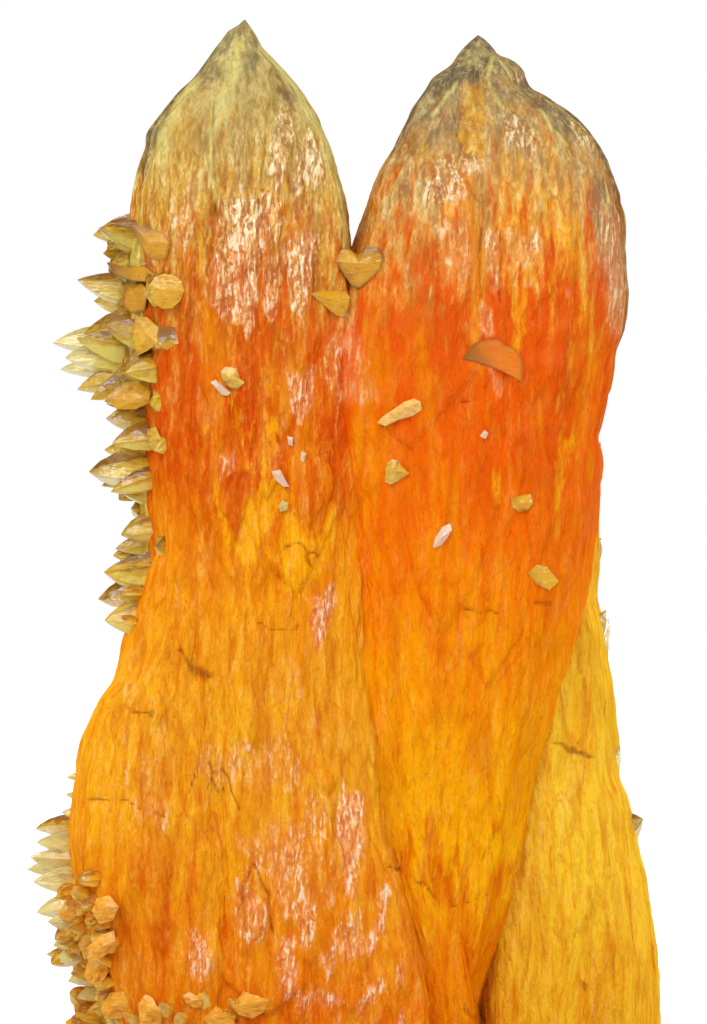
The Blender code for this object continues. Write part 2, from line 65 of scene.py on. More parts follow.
# Each large crystal: rows of height, left, right, front and back in millimetres, tip first. Corners are
# the ridges of its cross-section as shares of the half width and half depth, going round from the left
# by the front.
LEFT_CRYSTAL = {
    "name": "left",
    "seed": 11,
    "corners": [
        (-1.0, 0.0), (-0.78, -0.72), (-0.24, -1.0), (0.3, -0.95), (0.42, -1.0), (0.9, -0.84),
        (1.0, -0.1), (0.72, 0.68), (0.25, 1.0), (-0.3, 0.94), (-0.78, 0.64),
    ],
    "rows": [
        (104.4, -10.05, -10.05, -1.5, -1.5), (103.7, -10.9, -9.5, -2.1, -0.9),
        (103.3, -11.65, -9.2, -2.5, -0.5), (102.6, -12.25, -8.75, -3.2, 0.2),
        (101.6, -13.05, -8.2, -4.1, 1.1), (100.6, -13.8, -7.25, -4.9, 2.0), (99.5, -14.6, -6.2, -5.6, 2.8),
        (98.4, -15.5, -5.25, -6.3, 3.5), (97.2, -16.8, -4.4, -7.0, 4.3), (95.8, -18.0, -3.6, -7.8, 5.1),
        (94.6, -18.9, -2.8, -8.4, 5.8), (93.4, -19.85, -2.2, -8.9, 6.4), (92.9, -20.1, -1.95, -9.1, 6.7),
        (91.6, -20.4, -1.4, -9.5, 7.3), (90.2, -20.9, -0.95, -9.9, 7.7), (88.4, -21.4, -0.5, -10.3, 8.3),
        (86.4, -21.75, 0.0, -10.6, 8.8), (82.0, -21.8, 0.5, -11.0, 9.6), (76.0, -21.5, 0.8, -10.9, 9.9),
        (69.4, -21.2, 1.4, -10.8, 10.0), (54.4, -20.4, 2.8, -10.8, 9.8), (42.0, -19.8, 2.9, -11.8, 9.6),
        (30.0, -19.0, 4.4, -13.2, 9.4), (22.6, -18.6, 5.2, -14.2, 9.4), (16.4, -18.2, 7.2, -15.0, 9.4),
        (8.4, -18.0, 8.8, -15.4, 9.4), (0.0, -17.6, 9.6, -15.2, 9.4),
    ],
    "columns": (226, 40),
    "levels": 330,
}
RIGHT_CRYSTAL = {
    "name": "right",
    "seed": 23,
    "corners": [
        (-1.0, 0.0), (-0.93, -0.62), (-0.62, -0.88), (-0.16, -1.0), (-0.02, -0.95), (0.1, -0.98),
        (0.6, -0.86), (0.9, -0.5), (1.0, 0.0), (0.74, 0.7), (0.2, 1.0), (-0.35, 0.94), (-0.8, 0.6),
    ],
    "rows": [
        (102.85, 13.25, 13.25, -1.0, -1.0), (102.4, 12.65, 13.95, -1.5, -0.4),
        (101.5, 11.7, 14.85, -2.5, 0.6), (100.9, 11.2, 15.3, -3.1, 1.1), (100.5, 10.9, 16.4, -3.5, 1.5),
        (99.9, 10.45, 17.35, -4.1, 2.2), (99.1, 9.3, 17.95, -5.0, 3.1), (98.5, 8.45, 18.15, -5.6, 3.7),
        (97.5, 7.85, 18.75, -6.4, 4.7), (96.9, 7.45, 19.85, -6.9, 5.3), (96.2, 7.0, 20.85, -7.4, 6.0),
        (95.3, 6.4, 22.25, -8.0, 6.8), (94.5, 6.1, 23.25, -8.5, 7.5), (93.1, 5.4, 24.55, -9.3, 8.5),
        (91.6, 4.75, 25.65, -10.0, 9.3), (90.7, 4.2, 26.1, -10.4, 9.8), (89.1, 3.2, 26.7, -11.0, 10.6),
        (87.7, 2.6, 27.15, -11.4, 11.1), (86.3, 2.1, 27.5, -11.7, 11.5), (84.6, 1.6, 28.0, -12.0, 11.8),
        (80.6, 0.2, 28.0, -12.4, 12.4), (76.6, -1.7, 28.2, -12.6, 12.8), (73.6, -2.7, 27.7, -12.6, 12.9),
        (70.6, -3.1, 26.9, -12.5, 12.8), (66.6, -3.1, 26.2, -12.3, 12.7), (64.0, -2.9, 25.6, -12.2, 12.6),
        (62.6, -2.6, 25.2, -12.1, 12.5), (60.6, -2.3, 25.6, -12.0, 12.4), (56.6, -1.9, 25.6, -11.8, 12.2),
        (52.0, -1.6, 25.2, -11.6, 12.0), (46.4, -1.4, 24.4, -11.4, 11.6), (36.4, -0.8, 21.9, -10.6, 11.0),
        (27.7, -0.4, 19.3, -9.8, 10.2), (19.4, 0.6, 17.8, -9.0, 9.4), (8.0, 3.0, 14.4, -7.6, 8.0),
        (0.0, 4.4, 11.0, -6.4, 6.8),
    ],
    "columns": (256, 40),
    "levels": 300,
}
SHOULDER_CRYSTAL = {
    "name": "shoulder",
    "seed": 37,
    "corners": [
        (-1.0, 0.08), (-0.8, -0.62), (-0.3, -0.95), (0.34, -1.0), (0.86, -0.78),
        (1.0, -0.3), (0.76, 0.62), (0.1, 1.0), (-0.62, 0.84),
    ],
    "rows": [
        (56.0, -17.0, -17.0, -3.0, -3.0), (50.0, -19.4, -12.6, -7.4, 1.0), (42.6, -21.9, -10.0, -9.8, 4.4),
        (38.6, -23.1, -9.4, -10.8, 6.0), (36.6, -24.5, -9.0, -11.4, 7.0), (34.6, -25.5, -8.8, -11.8, 7.6),
        (32.6, -26.3, -8.6, -12.2, 8.2), (28.6, -27.0, -8.3, -12.8, 9.2), (22.6, -27.6, -8.0, -13.6, 10.0),
        (16.4, -27.2, -7.6, -14.2, 10.6), (8.4, -25.6, -7.4, -14.2, 10.8), (0.0, -23.4, -7.0, -13.6, 10.6),
    ],
    "columns": (120, 30),
    "levels": 150,
}
REAR_CRYSTAL = {
    "name": "rear",
    "seed": 53,
    "corners": [
        (-1.0, 0.0), (-0.55, -0.82), (0.1, -1.0), (0.7, -0.76), (1.0, -0.1),
        (0.75, 0.68), (0.1, 1.0), (-0.6, 0.82),
    ],
    "rows": [
        (66.0, 22.0, 22.0, 5.0, 5.0), (60.0, 18.6, 25.4, 0.8, 9.6), (50.0, 15.6, 25.6, -2.0, 13.0),
        (46.6, 15.0, 25.3, -2.6, 13.6), (44.6, 14.7, 26.0, -2.9, 14.0), (42.6, 14.4, 26.4, -3.1, 14.3),
        (40.6, 14.1, 26.3, -3.3, 14.5), (38.6, 13.8, 26.7, -3.6, 14.8), (34.6, 13.2, 27.1, -4.0, 15.2),
        (30.6, 12.7, 27.4, -4.3, 15.5), (28.6, 12.4, 27.5, -4.5, 15.7), (26.6, 12.2, 28.3, -4.7, 15.9),
        (22.6, 11.8, 29.1, -4.9, 16.2), (20.6, 11.5, 29.4, -5.0, 16.3), (18.6, 11.3, 30.0, -5.0, 16.4),
        (14.6, 10.9, 30.8, -5.1, 16.6), (8.6, 10.4, 31.6, -5.2, 16.7), (0.0, 10.0, 31.6, -5.0, 16.6),
    ],
    "columns": (76, 30),
    "levels": 150,
}
# The hidden middle in which the crystals meet, so that no slit is left between them.
CORE = {
    "name": "core",
    "seed": 61,
    "corners": [
        (-1.0, 0.0), (-0.9, -0.9), (-0.4, -1.0), (0.4, -1.0),
        (0.9, -0.9), (1.0, 0.0), (0.6, 1.0), (-0.6, 1.0),
    ],
    "rows": [
        (78.0, -1.0, -1.0, 1.0, 1.0), (70.0, -5.0, 4.0, -4.4, 5.0), (62.0, -6.0, 5.0, -8.2, 6.0),
        (50.0, -6.0, 6.0, -9.6, 6.0), (40.0, -5.0, 7.4, -9.8, 6.0), (30.0, -4.0, 9.0, -9.6, 6.0),
        (20.0, -2.0, 11.0, -9.2, 6.0), (10.0, 2.0, 13.0, -8.6, 6.0), (0.0, 4.0, 14.0, -8.0, 6.4),
    ],
    "columns": (90, 16),
    "levels": 120,
}

# The lumpy crusts that the small crystals stand on, down the left flank and round the foot.
UPPER_BED = {
    "name": "bed",
    "foot": 43.0,
    "seed": 67,
    "corners": [(-1.0, 0.0), (-0.6, -0.9), (0.3, -1.0), (1.0, 0.0), (0.3, 1.0), (-0.6, 0.9)],
    "rows": [
        (84.0, -20.0, -20.0, -2.0, -2.0), (82.0, -22.0, -17.0, -5.0, 2.0), (76.0, -22.4, -17.0, -5.6, 3.0),
        (70.5, -23.2, -17.0, -5.0, 3.0), (66.0, -21.8, -17.0, -3.8, 2.6), (60.0, -21.4, -17.0, -3.2, 2.4),
        (54.0, -20.6, -17.0, -2.6, 2.0), (48.0, -20.6, -17.0, -2.6, 2.0), (43.0, -19.4, -17.0, -2.0, 1.6),
    ],
    "columns": (40, 20),
    "levels": 90,
}
LOWER_BED = {
    "name": "bed",
    "seed": 68,
    "corners": [(-1.0, 0.0), (-0.6, -0.9), (0.3, -1.0), (1.0, 0.0), (0.3, 1.0), (-0.6, 0.9)],
    "rows": [
        (25.0, -25.0, -25.0, -2.0, -2.0), (21.0, -28.0, -20.0, -4.0, 3.0), (15.0, -27.4, -19.0, -6.6, 4.0),
        (8.0, -25.2, -17.0, -9.6, 4.0), (0.0, -23.4, -14.0, -11.4, 3.0),
    ],
    "columns": (40, 20),
    "levels": 60,
}

# Small dogtooth crystals in view: root X and Z, tip X and Z, width, depth (Y) of the root, and how far
# the tip comes forward. The upper crust stands down the left flank.
UPPER_CRUST = [
    (-20.8, 83.8, -25.3, 82.9, 2.7, 1.5, 0.0), (-20.6, 82.4, -24.6, 83.5, 2.9, -2.5, 1.0),
    (-18.8, 82.6, -17.0, 80.8, 3.6, -7.5, 1.4), (-20.4, 80.6, -20.0, 78.6, 3.2, -5.5, 1.4),
    (-20.2, 78.4, -23.8, 80.0, 2.6, -2.0, 0.6), (-20.8, 77.6, -26.8, 78.4, 3.0, -1.0, 0.5),
    (-20.6, 76.2, -25.2, 76.3, 2.8, 0.6, 0.0), (-18.8, 77.4, -15.8, 77.2, 3.8, -8.0, 1.2),
    (-20.0, 77.8, -19.6, 76.6, 3.6, -7.2, 2.4), (-21.0, 74.0, -26.2, 72.8, 3.6, -1.0, 0.6),
    (-22.6, 71.6, -29.3, 72.1, 2.8, 0.8, 0.0), (-20.6, 73.0, -24.0, 73.8, 3.2, -4.4, 1.2),
    (-22.4, 70.8, -26.8, 72.5, 2.8, -2.6, 0.8), (-22.4, 70.2, -28.0, 70.6, 2.8, -1.4, 0.6),
    (-23.0, 69.8, -28.6, 69.5, 2.0, 1.6, 0.0), (-22.2, 69.6, -26.8, 67.4, 2.6, -1.4, 0.4),
    (-21.6, 69.2, -25.4, 66.4, 2.4, -3.0, 0.6), (-21.4, 68.8, -24.0, 66.2, 2.4, -4.6, 0.8),
    (-19.6, 73.4, -18.4, 71.6, 3.4, -7.4, 1.6), (-20.4, 69.8, -21.8, 69.0, 3.0, -6.0, 1.6),
    (-20.2, 67.4, -22.6, 68.7, 2.6, -4.0, 0.8), (-19.6, 67.0, -19.2, 65.6, 3.0, -6.4, 1.2),
    (-20.4, 64.2, -23.9, 64.5, 2.8, -2.4, 0.6), (-20.2, 63.0, -23.2, 62.0, 2.4, -4.2, 1.0),
    (-19.0, 63.2, -18.9, 61.2, 1.9, -7.0, 0.8), (-20.6, 61.2, -24.1, 61.4, 2.2, -1.0, 0.2),
    (-20.4, 60.2, -25.6, 59.2, 3.8, -2.0, 0.4), (-21.2, 59.4, -24.4, 57.8, 2.0, 0.6, 0.0),
    (-20.6, 58.8, -23.4, 57.2, 2.0, -3.0, 0.4), (-20.4, 57.0, -22.5, 57.3, 1.9, -1.6, 0.4),
    (-20.2, 53.8, -22.4, 52.9, 2.6, -2.0, 0.8), (-20.0, 51.8, -23.0, 51.5, 2.0, -0.6, 0.2),
    (-19.8, 52.0, -18.9, 51.8, 2.2, -5.6, 1.0), (-19.8, 49.8, -24.1, 49.2, 3.2, -2.4, 0.6),
    (-19.8, 47.6, -24.7, 46.5, 2.8, -1.4, 0.4), (-19.4, 45.2, -24.0, 44.4, 3.4, -3.0, 0.8),
]
# The lower crust stands round the foot of the shoulder.
LOWER_CRUST = [
    (-26.8, 29.2, -27.9, 28.7, 1.0, -1.0, 0.0), (-26.8, 26.6, -28.0, 27.0, 1.0, -1.0, 0.0),
    (-27.0, 24.8, -28.4, 25.2, 1.3, -1.0, 0.0), (-27.0, 22.6, -30.9, 22.2, 2.1, -0.5, 0.2),
    (-27.2, 20.6, -31.5, 20.8, 2.3, -1.0, 0.4), (-27.2, 19.6, -31.9, 19.4, 1.8, 1.0, 0.0),
    (-26.8, 18.2, -31.2, 18.3, 2.4, -1.8, 0.6), (-26.6, 16.8, -30.9, 15.2, 2.6, -1.0, 0.4),
    (-26.2, 15.4, -29.7, 14.4, 2.4, -3.0, 0.8), (-25.8, 13.6, -29.2, 11.9, 2.4, -1.8, 0.4),
    (-25.4, 11.8, -29.2, 10.2, 2.4, -1.0, 0.2), (-24.8, 9.8, -27.7, 8.4, 2.4, -2.4, 0.6),
    (-24.2, 8.0, -26.9, 6.7, 2.4, -1.4, 0.4), (-23.6, 6.4, -25.9, 5.3, 2.4, -2.4, 0.6),
    (-24.8, 14.6, -23.4, 17.0, 3.0, -7.0, 1.6), (-24.8, 10.6, -22.6, 13.4, 3.2, -7.4, 1.6),
    (-24.0, 9.0, -22.6, 10.4, 2.6, -8.0, 1.4), (-25.6, 12.8, -26.6, 12.2, 3.2, -5.0, 1.6),
    (-25.0, 16.6, -26.2, 16.8, 3.0, -4.8, 1.4), (-22.6, 6.0, -22.0, 7.8, 2.8, -8.4, 1.2),
    (-20.0, 4.8, -18.8, 7.2, 2.8, -11.0, 1.2), (-15.4, 6.2, -13.8, 7.8, 2.2, -13.4, 1.2),
    (-22.6, 3.4, -24.6, 2.6, 2.8, -5.0, 0.8), (-20.0, 2.4, -21.0, 1.4, 2.8, -10.0, 1.2),
]
# The stacked pointed scales on the rear crystal's right edge.
EDGE_SCALES = [
    (24.2, 52.6, 25.6, 62.2, 3.4, 4.0, 0.4), (24.0, 46.4, 25.7, 52.6, 3.0, 5.0, 0.0),
    (24.8, 38.6, 26.2, 45.4, 3.2, 4.0, 0.4), (25.6, 33.0, 26.8, 38.2, 2.8, 5.0, 0.0),
    (26.0, 26.6, 27.6, 31.6, 3.2, 4.0, 0.4), (27.2, 22.6, 29.9, 24.4, 4.4, 4.6, 0.4),
]
# Seeded fields of small crystals on the left flank and round the foot: seed, count, ranges of X and Z
# of the root, how far the tip goes left, down and forward, and the range of widths.
FIELDS = {
    "upper": [
        (81, 26, (-22.0, -20.0), (66.0, 83.5), (0.8, 3.0), (-0.8, 1.6), (0.8, 2.0), (2.0, 3.0)),
        (82, 14, (-21.0, -20.0), (44.0, 65.0), (0.8, 2.6), (-0.4, 1.4), (0.6, 1.4), (1.6, 2.4)),
    ],
    "lower": [
        (83, 40, (-27.0, -22.4), (1.0, 20.0), (0.8, 2.6), (-0.8, 1.6), (1.0, 2.2), (1.8, 3.0)),
        (84, 14, (-22.0, -8.0), (0.5, 6.4), (0.2, 2.0), (-1.8, 0.4), (0.8, 1.6), (1.8, 3.0)),
    ],
}
# Flat small crystals on the front: kind, how far the ridge point stands out, that point, and the outline,
# both in the photograph's pixels.
CHIPS = [
    ("brown", 1.2, (360, 266), [(366, 249), (379, 250), (383, 262), (380, 272), (371, 281), (360, 290),
        (352, 288), (345, 279), (336, 264), (341, 252), (349, 251), (357, 257)]),
    ("amber", 1.05, (338, 303), [(311, 296), (320, 293), (346, 293), (350, 300), (347, 314), (343, 319),
        (336, 317), (325, 308)]),
    ("khaki", 0.75, (232, 380), [(222, 373), (227, 368), (238, 370), (241, 380), (246, 384), (238, 391),
        (232, 389), (225, 384)]),
    ("white", 0.75, (220, 388), [(212, 384), (217, 381), (232, 394), (229, 397), (223, 396)]),
    ("orange", 0.3, (494, 356), [(461, 361), (466, 353), (474, 345), (485, 341), (496, 341), (503, 347),
        (512, 350), (517, 356), (521, 364), (520, 384), (512, 379), (500, 373), (485, 367), (472, 363)]),
    ("pink", 1.05, (404, 409), [(377, 424), (382, 418), (391, 412), (404, 403), (413, 400), (420, 403),
        (421, 411), (412, 417), (398, 421), (385, 427)]),
    ("khaki", 0.9, (393, 471), [(384, 482), (386, 464), (391, 460), (398, 461), (400, 466), (409, 474),
        (400, 480), (390, 485)]),
    ("amber", 0.75, (520, 503), [(509, 499), (515, 496), (529, 494), (531, 503), (526, 510), (518, 512),
        (511, 508)]),
    ("white", 0.9, (441, 537), [(432, 548), (434, 538), (441, 527), (449, 523), (451, 529), (446, 538),
        (440, 545)]),
    ("white", 0.75, (280, 476), [(272, 472), (281, 470), (290, 487), (284, 487), (277, 481)]),
    ("grey", 0.45, (283, 506), [(281, 512), (279, 506), (283, 500), (289, 503), (288, 510)]),
    ("white", 0.45, (304, 456), [(302, 452), (307, 454), (304, 463), (301, 460)]),
    ("white", 0.45, (291, 442), [(288, 437), (294, 438), (293, 447), (289, 445)]),
    ("white", 0.38, (483, 435), [(478, 437), (483, 431), (487, 434), (484, 440)]),
    ("amber", 0.3, (541, 578), [(526, 573), (535, 564), (545, 566), (557, 581), (548, 589), (538, 586)]),
    ("peach", 0.6, (195, 993), [(185, 989), (192, 985), (205, 992), (204, 1000), (196, 1001), (188, 996)]),
    ("peach", 0.9, (248, 996), [(234, 999), (245, 984), (262, 990), (273, 993), (266, 1004), (254, 1011),
        (240, 1007)]),
    ("peach", 0.9, (222, 1008), [(205, 1012), (218, 999), (237, 1010), (236, 1020), (215, 1023)]),
    ("peach", 1.05, (153, 1002), [(141, 998), (148, 988), (155, 991), (163, 1004), (165, 1020),
        (143, 1022)]),
    ("peach", 0.9, (104, 941), [(90, 942), (102, 931), (117, 925), (119, 935), (110, 949), (99, 956),
        (91, 955)]),
    ("peach", 1.05, (80, 903), [(60, 913), (66, 900), (79, 894), (93, 899), (86, 912), (70, 920)]),
    ("peach", 1.05, (107, 902), [(95, 906), (100, 893), (113, 890), (122, 902), (116, 915), (103, 919)]),
    ("peach", 1.05, (98, 966), [(86, 972), (90, 958), (104, 952), (112, 966), (104, 978), (92, 980)]),
    ("peach", 1.05, (118, 1000), [(103, 1004), (112, 988), (126, 986), (132, 1000), (124, 1014),
        (108, 1014)]),
    ("brown", 1.05, (150, 243), [(131, 226), (150, 230), (166, 236), (172, 246), (168, 261), (160, 263),
        (149, 259), (139, 242)]),
    ("amber", 0.9, (164, 292), [(151, 288), (156, 280), (165, 276), (175, 277), (183, 283), (186, 293),
        (182, 303), (174, 310), (164, 311), (156, 305)]),
    ("amber", 0.9, (149, 336), [(137, 318), (149, 319), (160, 329), (159, 345), (149, 352), (139, 357),
        (135, 338)]),
    ("brown", 0.9, (134, 270), [(108, 263), (124, 268), (146, 268), (158, 277), (152, 284), (132, 282),
        (116, 276)]),
    ("amber", 0.9, (134, 402), [(108, 399), (118, 390), (140, 384), (152, 392), (150, 404), (136, 410),
        (118, 410)]),
    ("khaki", 0.9, (154, 438), [(148, 430), (157, 427), (163, 440), (158, 453), (150, 447)]),
    ("brown", 0.9, (134, 292), [(126, 284), (142, 283), (150, 292), (146, 312), (132, 314), (124, 306)]),
]
# What the small crystals' kinds are made of: shares of ivory, brown and orange.
CHIP_KINDS = {
    "amber": (0.0, 0.4, 0.2), "brown": (0.0, 0.85, 0.26), "khaki": (0.2, 0.25, 0.05),
    "peach": (0.16, 0.0, 0.42), "white": (1.0, 0.0, 0.0), "pink": (0.3, 0.1, 0.5),
    "orange": (0.0, 0.8, 0.8), "grey": (0.4, 0.7, 0.1),
}
# Crusts of small crystals that the view hides: crystal, seed, count, then ranges of place round it
# (shares of the way round from the left by the front), height and length.
HIDDEN_CRUSTS = [
    (LEFT_CRYSTAL, 5, 13, (0.86, 0.99), (62.0, 84.0), (2.4, 4.2)),
    (SHOULDER_CRYSTAL, 6, 14, (0.84, 0.99), (4.0, 24.0), (2.2, 3.8)),
    (LEFT_CRYSTAL, 7, 6, (0.9, 0.99), (46.0, 60.0), (2.0, 3.2)),
]
# A small crystal's cross-section: six ridges as shares of the half width and half thickness.
SMALL_SECTION = [(1.0, 0.0), (0.42, 0.8), (-0.56, 0.9), (-1.0, 0.0), (-0.42, -0.8), (0.56, -0.9)]
TOOTH_RINGS = 13
# Thickness as a share of the width: of most small crystals, of those in the seeded fields, of the scales.
TOOTH_THICKNESS = 0.78
FIELD_THICKNESS = 0.7
SCALE_THICKNESS = 0.5
# Width as a share of the measured width, and of the length where they are hidden.
CRUST_STOUTNESS = 1.45
HIDDEN_STOUTNESS = 1.0
# How deep the small crystals are rooted in the large one.
ROOT_DEPTH = 3.0
FIELD_ROOT_DEPTH = 1.2
# The first seeds of the small crystals in view.
UPPER_SEED = 100
LOWER_SEED = 200
SCALE_SEED = 250
# Between these heights the small crystals turn orange towards the foot.
ORANGE_HEIGHTS = (26.0, 14.0)
# The upright lines (X and Y) that the small crystals grow away from.
FLANK_AXIS = (-10.0, -0.5)
REAR_AXIS = (20.0, 5.0)
# Edges are sharp where their faces turn by more than this, in degrees.
BODY_SHARP = 40
SMALL_SHARP = 20
SCALE_SHARP = 25

# Growth plates over the large crystals, coarse to fine: how many fit round a crystal, their length, how
# far their feet stand out, the width of their bevelled edge, in millimetres, and how many are there.
PLATE_LAYERS = [
    {"round": 11, "length": 16.0, "height": 0.8, "bevel": 0.7, "share": 0.75},
    {"round": 26, "length": 7.0, "height": 0.42, "bevel": 0.35, "share": 0.75},
    {"round": 64, "length": 3.0, "height": 0.24, "bevel": 0.2, "share": 0.7},
]
# Smooth swelling of the faces, upright strands and fine pitting: count round, length and height.
SWELLS = (7, 22.0, 0.9)
STRANDS = (96, 3.4, 0.3)
RIPPLES = (170, 1.1, 0.16)
# How far plates and strands wander round a crystal, widely and finely, as shares of the way round.
SWAY = 0.014
JITTER = 0.0035
# How far the drawn veins and foil stand out, and how deep the cracks and golden patches are.
VEIN_LIFT = 0.12
FOIL_LIFT = 0.15
CRACK_DEPTH = 0.2
AMBER_DEPTH = 0.12
# The right crystal's upright groove: X, lowest and highest Z, width and depth.
GROOVE = (13.3, 72.0, 88.5, 0.9, 0.5)
# The heights over which the dark rim of painted shade sets in, on a left flank and on the right crystal's
# right one.
LEFT_RIM = (84.0, 96.0)
RIGHT_RIM = (58.0, 78.0)
# Relief is held to this share at the left and right edges, so that the outline stays as measured.
EDGE_RELIEF = 0.5
# Relief fades towards a tip from where the crystal's half width is this.
FULL_RELIEF_HALF_WIDTH = 6.0

# Pointed plates in view that stand out one by one: tip X and Z, length, half width and height.
TONGUES = [
    (-12.6, 60.4, 17.0, 2.0, 0.42), (-9.8, 60.4, 19.0, 1.6, 0.48), (-11.0, 52.6, 10.0, 2.3, 0.48),
    (-3.6, 53.4, 10.0, 2.6, 0.48), (-3.6, 49.6, 5.0, 1.2, 0.3), (-15.4, 53.8, 8.0, 1.6, 0.3),
    (-9.2, 49.0, 9.0, 1.9, 0.3), (-4.4, 68.8, 9.0, 1.9, 0.48), (-6.6, 62.0, 12.0, 1.3, 0.3),
    (-16.4, 46.0, 9.0, 1.8, 0.24), (-6.2, 44.0, 8.0, 1.6, 0.24), (-12.0, 41.0, 9.0, 1.8, 0.24),
    (6.2, 69.6, 12.0, 1.8, 0.3), (9.6, 47.6, 8.0, 1.4, 0.24), (14.6, 44.4, 7.0, 1.6, 0.24),
    (20.6, 44.6, 12.0, 1.8, 0.3), (16.6, 61.0, 9.0, 1.6, 0.3), (11.6, 37.0, 9.0, 1.5, 0.24),
    (14.0, 28.6, 8.0, 1.6, 0.24), (7.6, 23.6, 6.0, 1.2, 0.24), (10.2, 18.6, 6.0, 1.4, 0.24),
    (18.6, 34.0, 9.0, 1.6, 0.24), (3.6, 36.4, 8.0, 1.4, 0.24), (20.6, 76.0, 10.0, 1.8, 0.3),
]
# The line in view where the left crystal meets the right one, in the photograph's pixels, from the top.
SEAM = [
    (349, 250), (319, 347), (322, 407), (335, 471), (342, 558), (354, 616), (362, 660), (373, 762),
    (378, 833), (392, 870), (414, 914), (424, 1006), (426, 1064),
]
# Pale veins in view, as the half width, the strength and the points' X and Z.
VEINS = [
    (0.42, 1.0, [(-10.55, 101.9), (-10.95, 98.9), (-11.95, 96.4), (-13.2, 92.4)]),
    (0.5, 0.8, [(-15.1, 97.6), (-16.7, 95.4), (-17.9, 92.9), (-18.2, 90.0)]),
    (0.4, 1.0, [(-8.0, 101.2), (-5.7, 98.3), (-4.3, 96.0)]),
    (0.36, 0.8, [(-3.7, 95.4), (-2.4, 92.6), (-1.1, 88.4), (-0.4, 84.0), (-0.2, 81.6)]),
    (0.14, 0.8, [(-13.1, 96.4), (-13.3, 91.4), (-13.5, 87.4)]),
    (0.18, 0.7, [(-14.0, 91.0), (-13.2, 87.4), (-12.4, 85.4)]),
    (0.16, 0.6, [(-17.6, 94.0), (-16.0, 88.0)]),
    (0.2, 0.8, [(14.65, 100.4), (14.15, 98.4), (14.65, 96.9), (15.75, 95.2)]),
    (0.14, 0.9, [(10.95, 97.9), (9.75, 96.4), (8.55, 94.6)]),
    (0.12, 0.8, [(15.5, 100.2), (16.8, 98.2)]),
    (0.16, 0.8, [(19.5, 95.2), (20.6, 93.2), (22.2, 91.6)]),
    (0.12, 0.5, [(13.0, 101.0), (12.8, 98.0)]),
    (0.4, 0.4, [(15.9, 96.4), (18.9, 90.4), (21.4, 85.4)]),
    (0.12, 0.7, [(25.8, 89.0), (26.3, 86.0)]),
    (0.25, 0.35, [(17.4, 94.0), (20.0, 88.0), (22.8, 82.0)]),
    (0.3, 0.4, [(14.6, 88.0), (15.6, 80.0), (16.0, 72.0)]),
]
# Fine dark cracks in view, as the half width, the strength and the points' X and Z.
CRACKS = [
    (0.09, 0.98, [(-8.3, 101.2), (-6.8, 99.2), (-5.6, 97.6), (-4.8, 96.4)]),
    (0.35, 0.94, [(-5.9, 97.4), (-5.3, 96.0)]),
    (0.1, 0.98, [(-5.8, 51.8), (-4.6, 52.1), (-3.8, 51.4), (-2.4, 51.2)]),
    (0.1, 0.94, [(-3.8, 51.4), (-3.4, 49.8)]),
    (0.12, 0.96, [(-16.8, 41.6), (-15.4, 39.9), (-14.2, 39.3), (-13.4, 38.6)]),
    (0.3, 0.92, [(-15.0, 39.8), (-13.8, 38.9)]),
    (0.1, 0.98, [(11.7, 46.1), (13.0, 45.6), (15.0, 45.2)]),
    (0.1, 0.9, [(19.0, 46.2), (20.6, 45.9)]),
    (0.12, 0.98, [(20.9, 32.4), (22.4, 31.6), (24.6, 30.7)]),
    (0.1, 0.92, [(22.4, 31.6), (23.4, 32.3)]),
    (0.07, 0.96, [(-15.3, 27.6), (-14.3, 29.9), (-13.2, 30.7), (-12.2, 27.4)]),
    (0.07, 0.92, [(-13.4, 28.0), (-12.4, 30.2), (-11.6, 28.4), (-10.8, 26.0)]),
    (0.07, 0.9, [(-24.5, 36.4), (-20.5, 35.4), (-16.5, 35.2)]),
    (0.07, 0.92, [(-26.5, 26.9), (-21.5, 26.4), (-16.5, 24.9)]),
    (0.07, 0.9, [(-8.6, 44.0), (-6.0, 43.4), (-4.6, 43.8)]),
    (0.06, 0.9, [(11.6, 66.2), (12.8, 66.3), (14.2, 66.0)]),
    (0.08, 0.9, [(-9.4, 20.6), (-10.8, 16.0)]),
    (0.08, 0.9, [(-9.4, 20.6), (-7.6, 17.4), (-7.2, 14.0)]),
    (0.1, 0.92, [(23.6, 8.4), (24.4, 7.2)]),
    (0.1, 0.8, [(-13.0, 95.6), (-12.8, 84.6), (-13.7, 79.0)]),
    (0.1, 0.8, [(-4.9, 95.6), (-5.3, 86.8)]),
    (0.1, 0.8, [(-7.1, 99.3), (-8.2, 89.0), (-8.4, 82.3), (-8.7, 73.4)]),
    (0.1, 0.8, [(-2.9, 83.4), (-2.9, 76.8)]),
    (0.1, 0.8, [(11.2, 98.0), (11.0, 93.9), (11.2, 88.9), (13.2, 85.9), (13.4, 76.4)]),
    (0.1, 0.8, [(5.3, 94.0), (7.0, 88.0), (10.6, 85.6)]),
    (0.1, 0.8, [(15.4, 83.0), (15.4, 76.0)]),
    (0.2, 0.88, [(12.2, 5.8), (13.4, 4.6)]),
    (0.08, 0.9, [(4.7, 20.2), (7.9, 18.4), (9.9, 15.9), (11.9, 16.6), (13.9, 17.2)]),
]
